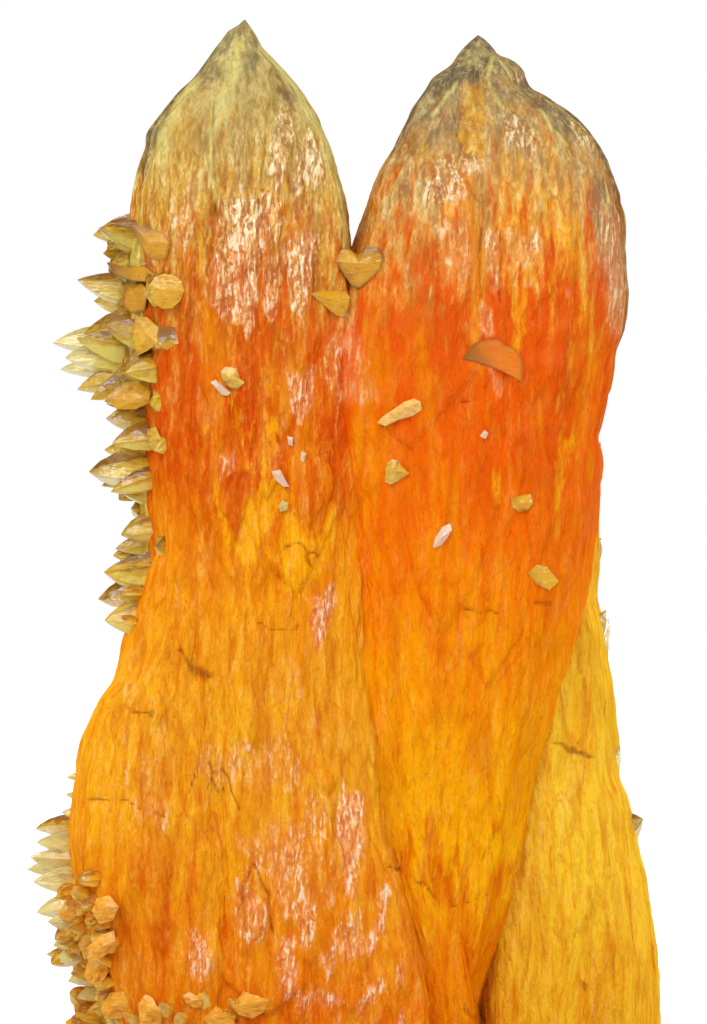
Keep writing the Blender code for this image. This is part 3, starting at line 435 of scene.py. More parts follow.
# Hillocks at the foot, which point up: tip X and Z, length, half width, height.
HILLOCKS = [
    (-9.2, 20.0, 9.0, 1.6, 0.8), (-3.4, 16.4, 7.0, 1.2, 0.7), (0.8, 19.4, 8.0, 1.0, 0.6),
    (-6.0, 24.4, 7.0, 1.0, 0.5), (-1.4, 25.4, 7.0, 1.1, 0.6), (2.4, 24.6, 9.0, 0.9, 0.6),
    (-12.6, 14.4, 8.0, 1.3, 0.6), (-15.4, 12.0, 8.0, 1.3, 0.6), (4.8, 13.0, 9.0, 1.0, 0.7),
    (1.4, 10.2, 6.0, 1.0, 0.6), (-4.4, 8.6, 5.0, 1.0, 0.5), (-10.0, 28.4, 7.0, 1.2, 0.4),
    (-13.6, 24.0, 7.0, 1.1, 0.4), (-17.6, 18.4, 8.0, 1.4, 0.4), (-20.6, 24.4, 9.0, 1.6, 0.4),
    (-3.6, 32.6, 8.0, 1.1, 0.4),
]
# What the eye sees on the front, each as a strength and an outline in the photograph's pixels.
SMOKE = [
    (0.9, [(245, 18), (232, 27), (220, 40), (204, 62), (182, 86), (157, 115), (145, 130), (138, 156),
        (131, 176), (142, 182), (152, 160), (166, 132), (174, 108), (190, 86), (212, 64), (228, 50),
        (236, 40), (245, 34)]),
    (0.7, [(246, 20), (258, 36), (270, 56), (262, 64), (250, 74), (244, 88), (238, 82), (244, 60),
        (246, 42)]),
    (0.8, [(198, 68), (222, 54), (223, 80), (206, 86), (194, 80)]),
    (1.0, [(282, 84), (297, 92), (297, 106), (279, 96)]),
    (0.9, [(478, 33), (502, 56), (490, 70), (480, 82), (462, 82), (450, 88), (436, 102), (424, 120),
        (412, 126), (402, 120), (418, 95), (434, 74), (456, 52)]),
    (0.7, [(499, 56), (528, 74), (536, 92), (554, 102), (580, 118), (602, 145), (614, 178), (604, 172),
        (590, 142), (574, 152), (556, 142), (540, 116), (526, 102), (512, 86), (504, 72)]),
    (0.5, [(400, 124), (416, 118), (418, 148), (405, 158), (390, 166), (396, 140)]),
    (0.7, [(590, 160), (614, 180), (624, 214), (628, 300), (612, 330), (598, 260), (584, 200)]),
    (0.5, [(520, 98), (540, 104), (546, 130), (536, 150), (526, 128)]),
    (0.35, [(600, 440), (606, 470), (602, 540), (584, 540), (588, 470)]),
]
STRAW = [
    (0.9, [(236, 42), (242, 42), (241, 62), (237, 80), (232, 96), (223, 102), (221, 88), (229, 66)]),
    (0.8, [(189, 84), (196, 90), (185, 108), (179, 120), (173, 140), (171, 156), (163, 156), (165, 134),
        (172, 112), (181, 93)]),
    (0.5, [(219, 86), (223, 92), (219, 120), (211, 127), (213, 105)]),
    (0.5, [(208, 148), (216, 165), (224, 188), (214, 182), (207, 166)]),
    (1.0, [(269, 52), (285, 68), (298, 84), (308, 98), (316, 112), (306, 110), (294, 94), (282, 84),
        (273, 70)]),
    (0.9, [(308, 98), (320, 114), (333, 138), (341, 163), (347, 195), (350, 240), (352, 262), (343, 256),
        (338, 202), (331, 173), (323, 146), (311, 122)]),
    (0.35, [(488, 62), (494, 60), (492, 84), (488, 82)]),
    (0.5, [(430, 88), (447, 88), (436, 112), (430, 122), (428, 104)]),
    (0.6, [(524, 188), (534, 190), (548, 212), (560, 232), (548, 232), (534, 214)]),
    (0.5, [(596, 596), (604, 600), (611, 640), (610, 656), (604, 656), (598, 630)]),
    (0.3, [(126, 660), (142, 655), (150, 700), (140, 730), (118, 720), (104, 708)]),
]
AMBER = [
    (0.6, [(258, 74), (268, 65), (280, 82), (278, 101), (271, 92), (262, 86)]),
    (0.7, [(291, 134), (303, 127), (306, 140), (300, 166), (296, 190), (290, 202), (284, 192), (291, 160)]),
    (0.6, [(262, 100), (277, 94), (276, 126), (268, 160), (262, 202), (256, 200), (261, 150)]),
    (0.5, [(204, 204), (217, 204), (210, 250), (205, 292), (197, 290), (201, 240)]),
    (0.4, [(168, 150), (200, 152), (200, 186), (176, 186), (160, 202), (148, 192)]),
    (0.9, [(231, 385), (240, 392), (243, 425), (247, 446), (250, 470), (245, 470), (239, 450), (233, 430),
        (230, 405)]),
    (0.8, [(205, 420), (212, 424), (221, 446), (219, 464), (211, 446), (205, 432)]),
    (0.9, [(265, 418), (280, 416), (282, 430), (275, 446), (272, 472), (259, 472), (262, 450), (264, 435)]),
    (0.8, [(253, 412), (258, 412), (256, 430), (252, 446), (249, 440)]),
    (0.5, [(262, 345), (272, 340), (276, 400), (268, 412), (261, 380)]),
    (0.9, [(214, 480), (221, 480), (223, 500), (229, 520), (234, 546), (226, 542), (219, 522), (214, 500)]),
    (1.0, [(262, 480), (280, 477), (289, 490), (284, 501), (269, 530), (253, 561), (246, 577), (239, 561),
        (235, 548), (241, 520), (249, 495)]),
    (1.0, [(282, 512), (294, 509), (302, 530), (309, 539), (320, 526), (336, 505), (339, 535), (331, 561),
        (318, 582), (308, 592), (300, 602), (288, 597), (279, 575), (278, 540)]),
    (0.95, [(458, 83), (487, 83), (487, 130), (484, 166), (470, 160), (457, 161), (455, 125)]),
    (0.7, [(486, 150), (530, 160), (560, 200), (590, 240), (586, 330), (578, 376), (570, 320), (558, 300),
        (550, 352), (540, 296), (528, 322), (516, 398), (508, 320), (500, 286), (488, 230)]),
    (0.8, [(554, 430), (576, 434), (573, 460), (561, 520), (555, 542), (551, 500)]),
    (0.5, [(560, 380), (592, 396), (576, 412), (560, 406)]),
    (0.5, [(540, 378), (556, 395), (553, 412), (546, 402)]),
    (0.6, [(488, 470), (500, 474), (508, 500), (500, 502), (490, 490)]),
    (0.45, [(396, 712), (440, 716), (452, 740), (472, 780), (470, 840), (452, 896), (440, 902), (426, 880),
        (400, 870), (386, 856), (379, 800), (384, 750)]),
    (0.3, [(420, 640), (470, 630), (470, 700), (440, 740), (404, 720), (410, 680)]),
    (0.4, [(560, 660), (596, 664), (606, 720), (600, 770), (560, 738), (552, 700)]),
    (0.3, [(540, 770), (556, 750), (596, 765), (600, 860), (560, 900), (524, 880), (532, 800)]),
]
EMBER = [
    (0.35, [(318, 232), (346, 250), (345, 300), (320, 312)]),
    (0.6, [(284, 316), (320, 312), (318, 355), (311, 370), (301, 378), (292, 373), (285, 358)]),
    (0.9, [(241, 384), (263, 384), (265, 410), (256, 432), (248, 442), (241, 420)]),
    (0.4, [(262, 300), (286, 330), (288, 470), (262, 420)]),
    (0.9, [(224, 470), (253, 470), (247, 500), (240, 530), (234, 547), (228, 525), (222, 500)]),
    (0.5, [(285, 470), (334, 470), (331, 505), (319, 525), (309, 539), (302, 531), (293, 511), (290, 490)]),
    (1.0, [(317, 540), (323, 540), (317, 560), (309, 578), (303, 565), (298, 550), (303, 551), (308, 563)]),
    (0.4, [(171, 588), (187, 590), (182, 620), (176, 620), (169, 600)]),
    (0.4, [(186, 500), (215, 520), (205, 560), (195, 540)]),
    (0.5, [(150, 330), (200, 310), (236, 400), (232, 470), (140, 480), (136, 420)]),
    (0.5, [(186, 655), (204, 660), (214, 680), (196, 676)]),
    (0.4, [(354, 300), (400, 290), (404, 420), (360, 420), (346, 380)]),
    (0.5, [(472, 200), (484, 196), (483, 262), (481, 310), (474, 306), (473, 250)]),
    (0.75, [(404, 230), (440, 240), (450, 330), (404, 340)]),
    (0.7, [(504, 446), (516, 430), (562, 424), (560, 470), (553, 540), (540, 522), (528, 480), (512, 500)]),
    (0.6, [(540, 604), (549, 605), (551, 640), (542, 637)]),
    (0.6, [(518, 600), (526, 602), (524, 642), (519, 636)]),
    (0.35, [(350, 480), (420, 480), (430, 560), (370, 570), (346, 540)]),
    (0.4, [(460, 440), (500, 450), (500, 560), (470, 600), (440, 520)]),
    (0.35, [(574, 562), (598, 592), (600, 640), (584, 662), (574, 620)]),
    (0.5, [(463, 184), (482, 196), (481, 240), (470, 220)]),
    (0.3, [(394, 868), (404, 868), (416, 872), (430, 896), (440, 898), (446, 905), (456, 894), (470, 905),
        (482, 894), (500, 872), (515, 850), (513, 950), (492, 1026), (398, 1026), (396, 960)]),
    (0.6, [(520, 850), (524, 850), (514, 930), (502, 960), (494, 960), (508, 900)]),
    (0.3, [(240, 940), (400, 960), (420, 1026), (230, 1026)]),
    (0.35, [(604, 490), (584, 480), (560, 560), (580, 600)]),
    (0.3, [(500, 600), (560, 600), (540, 740), (520, 820), (490, 700)]),
]
# The foil patches stand out a little and are glossier; their paler fill and highlights are painted sheen.
FOIL = [
    (0.4, [(200, 74), (222, 82), (216, 120), (206, 150), (184, 150), (192, 108)]),
    (0.9, [(283, 108), (297, 106), (297, 130), (292, 150), (288, 192), (275, 197), (269, 180), (272, 150),
        (278, 124)]),
    (1.0, [(308, 130), (313, 140), (319, 158), (326, 183), (318, 189), (308, 193), (297, 202), (294, 190),
        (298, 170), (302, 150)]),
    (0.45, [(226, 126), (262, 110), (262, 145), (260, 204), (218, 204), (216, 160)]),
    (0.5, [(184, 190), (204, 186), (198, 250), (184, 264), (172, 250), (168, 214)]),
    (0.85, [(218, 198), (284, 200), (284, 230), (263, 262), (259, 330), (246, 338), (228, 323), (203, 310),
        (207, 275), (215, 240)]),
    (1.0, [(265, 262), (284, 252), (286, 240), (318, 234), (318, 262), (314, 290), (300, 313), (291, 305),
        (286, 276), (282, 300), (278, 324), (263, 323)]),
    (1.0, [(287, 372), (294, 369), (300, 379), (311, 371), (318, 364), (318, 385), (314, 400), (306, 418),
        (299, 424), (293, 412), (287, 395)]),
    (0.6, [(221, 456), (238, 441), (239, 470), (221, 484)]),
    (1.0, [(315, 600), (326, 592), (337, 585), (339, 600), (331, 615), (321, 640), (313, 652), (314, 620)]),
    (0.7, [(302, 635), (311, 640), (311, 653), (303, 650)]),
    (0.3, [(176, 520), (216, 530), (212, 600), (170, 590)]),
    (0.9, [(457, 160), (481, 158), (481, 175), (463, 183), (455, 175)]),
    (0.7, [(458, 122), (464, 122), (464, 132), (458, 130)]),
    (0.9, [(431, 160), (450, 157), (457, 175), (463, 190), (465, 210), (440, 207), (419, 201), (423, 180)]),
    (0.9, [(501, 108), (509, 107), (521, 124), (531, 140), (536, 150), (530, 161), (518, 153), (508, 151),
        (502, 130)]),
    (0.3, [(384, 158), (430, 150), (460, 205), (450, 214), (400, 214), (374, 200)]),
    (0.55, [(428, 222), (470, 214), (477, 262), (471, 302), (449, 312), (444, 280)]),
    (1.0, [(480, 298), (492, 303), (493, 336), (484, 346), (478, 330)]),
    (0.7, [(483, 228), (500, 233), (501, 290), (488, 296), (482, 260)]),
    (0.3, [(370, 240), (420, 234), (441, 260), (456, 292), (450, 322), (420, 322), (398, 302), (380, 302),
        (352, 332), (349, 290)]),
    (0.55, [(322, 340), (346, 300), (360, 290), (363, 330), (384, 370), (394, 402), (360, 412), (336, 420),
        (322, 380)]),
    (0.9, [(514, 249), (521, 253), (519, 266)]),
    (0.9, [(523, 280), (533, 284), (531, 297), (523, 293)]),
    (0.9, [(564, 290), (572, 290), (570, 304), (564, 302)]),
    (0.6, [(599, 190), (622, 215), (628, 262), (629, 302), (623, 332), (612, 352), (603, 322), (596, 282),
        (592, 230)]),
    (0.4, [(558, 164), (600, 158), (604, 202), (580, 182)]),
    (0.9, [(512, 64), (527, 76), (525, 81), (512, 79)]),
    (0.8, [(565, 124), (581, 117), (598, 140), (590, 156), (574, 146)]),
    (0.2, [(500, 232), (590, 240), (600, 380), (580, 330), (560, 370), (520, 320), (502, 350)]),
    (0.55, [(500, 226), (545, 232), (552, 284), (536, 320), (528, 280), (516, 336), (502, 280)]),
    (0.7, [(484, 366), (506, 380), (500, 396), (490, 392)]),
    (0.6, [(233, 872), (243, 860), (253, 861), (262, 880), (276, 905), (273, 930), (262, 946), (245, 946),
        (229, 920), (227, 900)]),
    (0.7, [(280, 838), (302, 834), (302, 882), (279, 882)]),
    (0.9, [(340, 778), (345, 768), (353, 790), (367, 790), (367, 830), (361, 870), (352, 897), (343, 880),
        (338, 842)]),
    (0.8, [(299, 906), (312, 887), (319, 900), (317, 930), (308, 952), (299, 946)]),
    (0.7, [(324, 870), (337, 864), (337, 900), (326, 907), (319, 895)]),
    (0.95, [(384, 866), (394, 880), (391, 905), (381, 930), (372, 952), (365, 949), (371, 925),
        (381, 895)]),
    (0.7, [(189, 924), (205, 924), (216, 935), (221, 960), (212, 967), (200, 982), (191, 970), (187, 940)]),
    (0.9, [(284, 966), (297, 943), (301, 965), (292, 977)]),
    (0.8, [(319, 960), (340, 914), (347, 920), (339, 950), (330, 974)]),
    (0.95, [(371, 978), (382, 971), (385, 985), (366, 997), (362, 1007), (357, 998)]),
    (1.0, [(395, 960), (403, 949), (403, 982), (395, 982)]),
    (1.0, [(395, 1010), (402, 1004), (405, 1020), (398, 1024)]),
    (0.5, [(222, 836), (280, 800), (345, 850), (350, 905), (280, 930), (262, 880)]),
    (0.5, [(296, 780), (340, 770), (345, 862), (300, 862)]),
    (0.45, [(190, 740), (260, 730), (330, 700), (345, 760), (300, 790), (200, 790)]),
    (0.35, [(100, 700), (160, 660), (190, 760), (180, 840), (100, 830)]),
    (0.4, [(230, 600), (300, 640), (330, 700), (250, 720), (200, 690)]),
    (0.15, [(540, 780), (600, 780), (640, 900), (650, 1010), (560, 1000), (530, 900)]),
    (0.7, [(276, 930), (300, 930), (300, 990), (280, 1000)]),
    (0.7, [(340, 900), (366, 900), (366, 960), (340, 960)]),
    (0.7, [(296, 984), (346, 984), (346, 1004), (296, 1004)]),
]
MARKS = {"smoke": SMOKE, "straw": STRAW, "amber": AMBER, "ember": EMBER, "foil": FOIL}


def rgb(red, green, blue):
    """A linear colour with alpha from red, green and blue of 0 to 255 as a screen shows them."""
    shares = (value / 255 for value in (red, green, blue))
    return (*(((share + 0.055) / 1.055) ** 2.4 if share > 0.04 else share / 12.92 for share in shares), 1.0)


# How strongly the stone bends light, how clear it is low down and at the tips, and its dye (1 / m).
CALCITE_IOR = 1.6
CLEAR_SHARE = 0.03
TIP_CLEAR = 0.3
DYE = (0.992, 0.86, 0.02, 1)
DYE_DENSITY = 230.0
# The small crystals' own.
PALE_CLEAR = 0.35
PALE_DYE = (0.94, 0.8, 0.0, 1)
PALE_DENSITY = 180.0
# The height at which the ramps of zones end, in millimetres.
ZONE_TOP = 110.0
BRIGHT_YELLOW = rgb(255, 184, 12)
DEEP_ORANGE = rgb(212, 76, 4)
GOLD_BROWN = rgb(186, 118, 34)
VEIN_YELLOW = rgb(246, 232, 140)
CRACK_BROWN = rgb(122, 44, 6)
# Painted highlights and glints: the pale lit sides of wrinkles and folds, where the front would reflect the
# lights. The pink white is also the whitest small crystals' own colour.
PINK_WHITE_FOR_GLINTS_AND_CRYSTALS = rgb(255, 234, 206)
HIGHLIGHT_PEACH = rgb(255, 206, 158)
GLINT_CREAM = rgb(255, 242, 200)
PALE_AMBER = rgb(255, 190, 60)
HIGHLIGHT_STRAW = rgb(244, 218, 132)
SMOKE_GREY = rgb(126, 116, 90)
# The dark rim's painted shade.
RIM_SHADE_BROWN = rgb(84, 70, 48)
# Tints multiplied into the zones as painted shade: lower down, higher up and at the tips.
SHADE_TINT = rgb(216, 146, 84)
GOLD_TINT = rgb(186, 138, 80)
TIP_TINT = rgb(176, 168, 146)
# A painted highlight colour, for the upper parts.
HIGHLIGHT_GOLD = rgb(255, 224, 160)
# The foil patches' paler fill: painted sheen where the front catches the lights.
SHEEN_PEACH = rgb(250, 170, 92)
SHEEN_GOLD = rgb(244, 186, 96)
# The way to the light for painted wrinkles, and how strongly their sides differ.
LIGHT_STEP = (-0.9, -0.5, 0.5)
LIT_GAIN = 8.0
PALE_BROWN = rgb(156, 108, 44)
PALE_KHAKI = rgb(236, 188, 40)
PALE_YELLOW = rgb(255, 236, 110)
TIP_BROWN = rgb(128, 84, 40)
IVORY = rgb(238, 226, 150)
CHIP_ORANGE = rgb(238, 108, 24)
# The zones up each crystal, from the foot: share of the height and colour.
LEFT_ZONES = [
    (0.0, rgb(236, 116, 8)), (0.2, rgb(238, 154, 18)), (0.3, rgb(240, 172, 28)), (0.46, rgb(242, 146, 8)),
    (0.56, rgb(220, 84, 4)), (0.66, rgb(226, 106, 16)), (0.72, rgb(218, 134, 36)), (0.78, rgb(220, 168, 58)),
    (0.86, rgb(218, 192, 108)), (0.93, rgb(234, 216, 142)),
]
RIGHT_ZONES = [
    (0.0, rgb(242, 130, 2)), (0.14, rgb(244, 146, 2)), (0.2, rgb(252, 182, 6)), (0.34, rgb(252, 156, 2)),
    (0.46, rgb(244, 114, 2)), (0.56, rgb(242, 98, 2)), (0.67, rgb(230, 88, 10)), (0.75, rgb(230, 132, 34)),
    (0.8, rgb(218, 164, 88)), (0.87, rgb(196, 160, 112)), (0.93, rgb(138, 130, 108)),
]
REAR_ZONES = [
    (0.0, rgb(244, 178, 26)), (0.2, rgb(250, 206, 48)), (0.4, rgb(246, 196, 40)), (0.6, rgb(230, 130, 10)),
]

# The white surround's strength before and behind the specimen.
WORLD_FRONT = 1.15
WORLD_BACK = 2.1


def smooth_rows(rows, heights):
    """The rows' four edges at the given heights, on a cubic through the rows that doesn't overshoot."""
    table = np.array(rows[::-1], float)
    z, values = table[:, 0], table[:, 1:]
    rise = np.diff(values, axis=0) / np.diff(z)[:, None]
    slope = np.zeros_like(values)
    same_way = rise[:-1] * rise[1:] > 0
    mean = 2 * rise[:-1] * rise[1:] / np.where(same_way, rise[:-1] + rise[1:], 1)
    slope[1:-1] = np.where(same_way, mean, 0)
    slope[0], slope[-1] = rise[0], rise[-1]
    span = np.clip(np.searchsorted(z, heights) - 1, 0, len(z) - 2)
    width = (z[span + 1] - z[span])[:, None]
    t = (heights - z[span])[:, None] / width
    start, end = values[span], values[span + 1]
    lift, fall = slope[span] * width, slope[span + 1] * width
    rise_part = start * (1 + 2 * t) * (1 - t) ** 2 + lift * t * (1 - t) ** 2
    return rise_part + end * t**2 * (3 - 2 * t) - fall * t**2 * (1 - t)


def smoothstep(low, high, x):
    """0 below low, 1 above high and a smooth cubic between."""
    t = np.clip((x - low) / (high - low), 0.0, 1.0)
    return t * t * (3 - 2 * t)


def section_at(corners, turns, rounding=0.012):
    """Points of the cross-section at shares of the way round, its corners rounded by a short average."""
    ring = np.array([*corners, corners[0]], float)
    along = np.concatenate([[0], np.cumsum(np.linalg.norm(np.diff(ring, axis=0), axis=1))])
    fine = 1440
    at = np.arange(fine) / fine * along[-1]
    points = np.stack([np.interp(at, along, ring[:, k]) for k in (0, 1)], axis=1)
    reach = max(1, round(rounding * fine))
    points = sum(np.roll(points, k, axis=0) for k in range(-reach, reach + 1)) / (2 * reach + 1)
    low, high = points.min(axis=0), points.max(axis=0)
    points = (points - (low + high) / 2) / ((high - low) / 2)
    wrapped = np.vstack([points, points[:1]])
    place = np.mod(turns, 1.0) * fine
    return np.stack([np.interp(place, np.arange(fine + 1), wrapped[:, k]) for k in (0, 1)], axis=1)


def lattice_value(i, j, seed, wrap):
    """A repeatable value from 0 to 1 for each cell, the same again after wrap cells round."""
    i, j = np.mod(i, wrap).astype(np.int64), j.astype(np.int64)
    mixed = (i * 374761393 + j * 668265263 + seed * 974634777) & 0xFFFFFFFF
    mixed = ((mixed ^ (mixed >> 13)) * 1274126177) & 0xFFFFFFFF
    mixed = ((mixed ^ (mixed >> 16)) * 668265263) & 0xFFFFFFFF
    return ((mixed ^ (mixed >> 15)) & 0xFFFF) / 65535.0


def noise(u, v, seed, wrap):
    """Value noise from 0 to 1 that closes round the crystal."""
    i, j = np.floor(u), np.floor(v)
    a, b = u - i, v - j
    a, b = a * a * (3 - 2 * a), b * b * (3 - 2 * b)
    low = lattice_value(i, j, seed, wrap) * (1 - a) + lattice_value(i + 1, j, seed, wrap) * a
    high = lattice_value(i, j + 1, seed, wrap) * (1 - a) + lattice_value(i + 1, j + 1, seed, wrap) * a
    return low * (1 - b) + high * b


def ridged(u, v, seed, wrap):
    """Noise folded at its middle, which gives sharp crests from 0 to 1."""
    return 1 - np.abs(2 * noise(u, v, seed, wrap) - 1)


def plates(turn, along, girth, layer, seed):
    """Overlapping pointed plates. Each rises from its top to its pointed foot and falls off in a bevel.

    Returns the height of the plate that stands highest at each place, that plate's own tone from 0 to 1,
    and the share of its side bevel, which is 1 at the outer end of the falling edge.
    """
    wrap, bevel = layer["round"], layer["bevel"]
    u, v = turn * wrap, along / layer["length"]
    i, j = np.floor(u), np.floor(v)
    height, tone, side = np.zeros(u.shape), np.full(u.shape, 0.5), np.zeros(u.shape)
    for di in (-1, 0, 1):
        for dj in (-2, -1, 0, 1):
            ci, cj = i + di, j + dj
            random = [lattice_value(ci, cj, seed + k, wrap) for k in range(7)]
            length = 0.55 + 1.15 * random[0]
            reach = 0.26 + 0.6 * random[1] ** 1.5
            t = (v - cj - random[2]) / length
            width = reach * np.minimum(1.0, np.maximum(t, 0) / 0.5) ** 0.8 * smoothstep(1.0, 0.7, t)
            edge = (width - np.abs(u - ci - 0.5 - 0.9 * (random[3] - 0.5))) * girth / wrap
            there = (t > 0) & (t < 1) & (edge > 0) & (random[5] < layer["share"])
            own = layer["height"] * (0.3 + 0.7 * random[4]) * (1 - np.clip(t, 0, 1)) ** 0.7
            own = np.where(there, own * np.clip(edge / bevel, 0, 1), 0.0)
            higher = own > height
            height = np.where(higher, own, height)
            tone = np.where(higher, random[6], tone)
            side = np.where(higher, 1 - np.clip(edge / (1.5 * bevel), 0, 1), side)
    return height, tone, side


def view_tongues(x, z, table, upward=False):
    """The height of single pointed plates in the view's X and Z."""
    height = np.zeros(x.shape)
    for number, (tip_x, tip_z, length, half, lift) in enumerate(table):
        rise = (tip_z - z) if upward else (z - tip_z)
        t = rise / length
        wander = 0.2 * np.sin(z * 0.9 + number * 2.1) + 0.1 * np.sin(z * 2.3 + number)
        width = half * np.clip(t / 0.45, 0, 1) ** 0.85 * smoothstep(1.0, 0.6, t)
        edge = width - np.abs(x - tip_x - wander * np.clip(t * 4, 0, 1))
        there = (t > 0) & (t < 1)
        own = np.where(there, lift * (1 - np.clip(t, 0, 1)) ** 0.6 * np.clip(edge / 0.45, 0, 1), 0.0)
        height = np.maximum(height, own)
    return height


def seen_place(x, y):
    """Millimetres across and up from a place in the photograph, in its pixels."""
    return (x - CENTRE_PIXEL) * PIXEL_MM, (FOOT_PIXEL - y) * PIXEL_MM


def marked(x, z, table):
    """How much each place lies inside the table's outlines: its strength inside, 0 outside.

    The edge is a smooth step of half width 0.8 + 3 * (1 - strength) ** 2 mm, so a faint mark fades out.
    """
    strength = np.zeros(x.shape)
    for weight, outline in table:
        soft = 0.8 + 3.0 * (1 - weight) ** 2
        corners = np.array([seen_place(*point) for point in outline])
        low, high = corners.min(axis=0) - soft, corners.max(axis=0) + soft
        near = (x > low[0]) & (x < high[0]) & (z > low[1]) & (z < high[1])
        px, pz = x[near], z[near]
        reach, inside = np.full(px.shape, 1e9), np.zeros(px.shape, bool)
        for (x0, z0), (x1, z1) in zip(corners, np.roll(corners, -1, axis=0)):
            step_x, step_z = x1 - x0, z1 - z0
            t = np.clip(((px - x0) * step_x + (pz - z0) * step_z) / (step_x**2 + step_z**2), 0, 1)
            reach = np.minimum(reach, np.hypot(px - x0 - t * step_x, pz - z0 - t * step_z))
            crossed = (z0 > pz) != (z1 > pz)
            inside ^= crossed & (px < x0 + (pz - z0) * step_x / (step_z if step_z else 1.0))
        cover = weight * smoothstep(-soft, soft, np.where(inside, reach, -reach))
        strength[near] = np.maximum(strength[near], cover)
    return strength


def seam_x(z):
    """Where the right crystal begins in the view, at each height."""
    heights, places = np.array([seen_place(*point)[::-1] for point in SEAM]).T
    return np.interp(z, heights[::-1], places[::-1])


def strokes(x, z, table, spread):
    """How near each place is to the table's lines: 1 on one, straight down to 0 at spread half widths."""
    nearness = np.zeros(x.shape)
    for half, weight, points in table:
        reach = np.full(x.shape, 1e9)
        for (x0, z0), (x1, z1) in zip(points, points[1:]):
            step_x, step_z = x1 - x0, z1 - z0
            t = np.clip(((x - x0) * step_x + (z - z0) * step_z) / (step_x**2 + step_z**2), 0, 1)
            reach = np.minimum(reach, np.hypot(x - x0 - t * step_x, z - z0 - t * step_z))
        nearness = np.maximum(nearness, weight * np.clip(1 - reach / (spread * half), 0, 1))
    return nearness


def groove(x, z, middle, low, high, width, depth):
    """An upright groove in the view, between two heights."""
    along = smoothstep(low, low + 2.0, z) * smoothstep(high, high - 2.0, z)
    return -depth * along * np.exp(-((x - middle) / width) ** 2)


def crystal_rings(crystal):
    """A large crystal's level heights, column turns and section, and each level's centre and half size."""
    lowest = crystal["rows"][-1][0]
    top = crystal["rows"][0][0] - TIP_GAP
    heights = top - np.linspace(0, 1, crystal["levels"]) ** 1.06 * (top - crystal.get("foot", -BELOW_CUT))
    left, right, front, back = smooth_rows(crystal["rows"], np.maximum(heights, lowest)).T
    front_count, back_count = crystal["columns"]
    turns = np.concatenate([
        np.linspace(-0.03, 0.53, front_count, endpoint=False),
        np.linspace(0.53, 0.97, back_count, endpoint=False),
    ])
    centre = np.stack([(left + right) / 2, (front + back) / 2], axis=1)
    half = np.stack([(right - left) / 2, (back - front) / 2], axis=1)
    return heights, turns, section_at(crystal["corners"], turns), centre, half


def growth_relief(turn, z, girth, seed):
    """How far swells, plates, strands and ripples lift a crystal's side, and the plates' tone and flanks."""
    sway = noise(turn * 10, z / 9.0, seed + 40, 10) - 0.5
    jitter = noise(turn * 44, z / 1.7, seed + 41, 44) - 0.5
    swayed = turn + SWAY * sway + JITTER * jitter
    count, length, height = SWELLS
    out = height * (noise(turn * count, z / length, seed, count) - 0.5)
    tone = np.zeros(out.shape)
    flank = np.zeros(out.shape)
    for number, layer in enumerate(PLATE_LAYERS):
        lift, own_tone, own_side = plates(swayed, z, girth, layer, seed + 100 * number)
        out += lift - layer["height"] * 0.3
        share = 0.7 ** number
        tone += share * (own_tone - 0.5)
        flank = np.maximum(flank, own_side * share)
    count, length, height = STRANDS
    out += height * (ridged(swayed * count, z / length, seed + 50, count) - 0.5)
    count, length, height = RIPPLES
    out += height * (noise(swayed * count, z / length, seed + 60, count) - 0.5)
    return out, tone, 0.8 * flank


def front_forms(which, turn, x, z, seed):
    """How far the tongues, the hillocks and the right crystal's groove lift a crystal's front."""
    if which in ("rear", "bed", "core"):
        return np.zeros(x.shape)
    seen_x = x + 0.8 * (noise(turn * 30, z / 3.0, seed + 42, 30) - 0.5)
    tongue = view_tongues(seen_x, z, TONGUES)
    if which == "right":
        return groove(seen_x, z, *GROOVE) + np.where(x > 1.0, tongue, 0.0)
    return tongue + view_tongues(seen_x, z, HILLOCKS, upward=True)


def front_marks(turn, x, z, seed):
    """The drawn patches, veins and cracks of a crystal's front, each from 0 to 1."""
    line_x = x + 0.3 * (noise(turn * 60, z / 1.2, seed + 43, 60) - 0.5)
    line_z = z + 1.6 * (noise(turn * 90, z / 3.0, seed + 44, 90) - 0.5)
    crack_x = x + 2.0 * (line_x - x)
    crack_z = z + 0.9 * (noise(turn * 60, z / 1.2, seed + 45, 60) - 0.5)
    marks = {name: marked(line_x, line_z, table) for name, table in MARKS.items()}
    marks["vein"] = strokes(line_x, z, VEINS, 3.0)
    marks["crack"] = strokes(crack_x, crack_z, CRACKS, 6.0)
    return marks


def rim_shade_share(which, x, z, middle, normal):
    """The dark rim of painted shade where the side turns away from the front: near the tip on a left flank,
    and from lower down on the right crystal's right one.
    """
    right_flank = smoothstep(*RIGHT_RIM, z) * (which == "right")
    rise = np.where(x > middle, right_flank, smoothstep(*LEFT_RIM, z))
    return smoothstep(0.5, 0.05, np.abs(normal[..., 1])) * rise


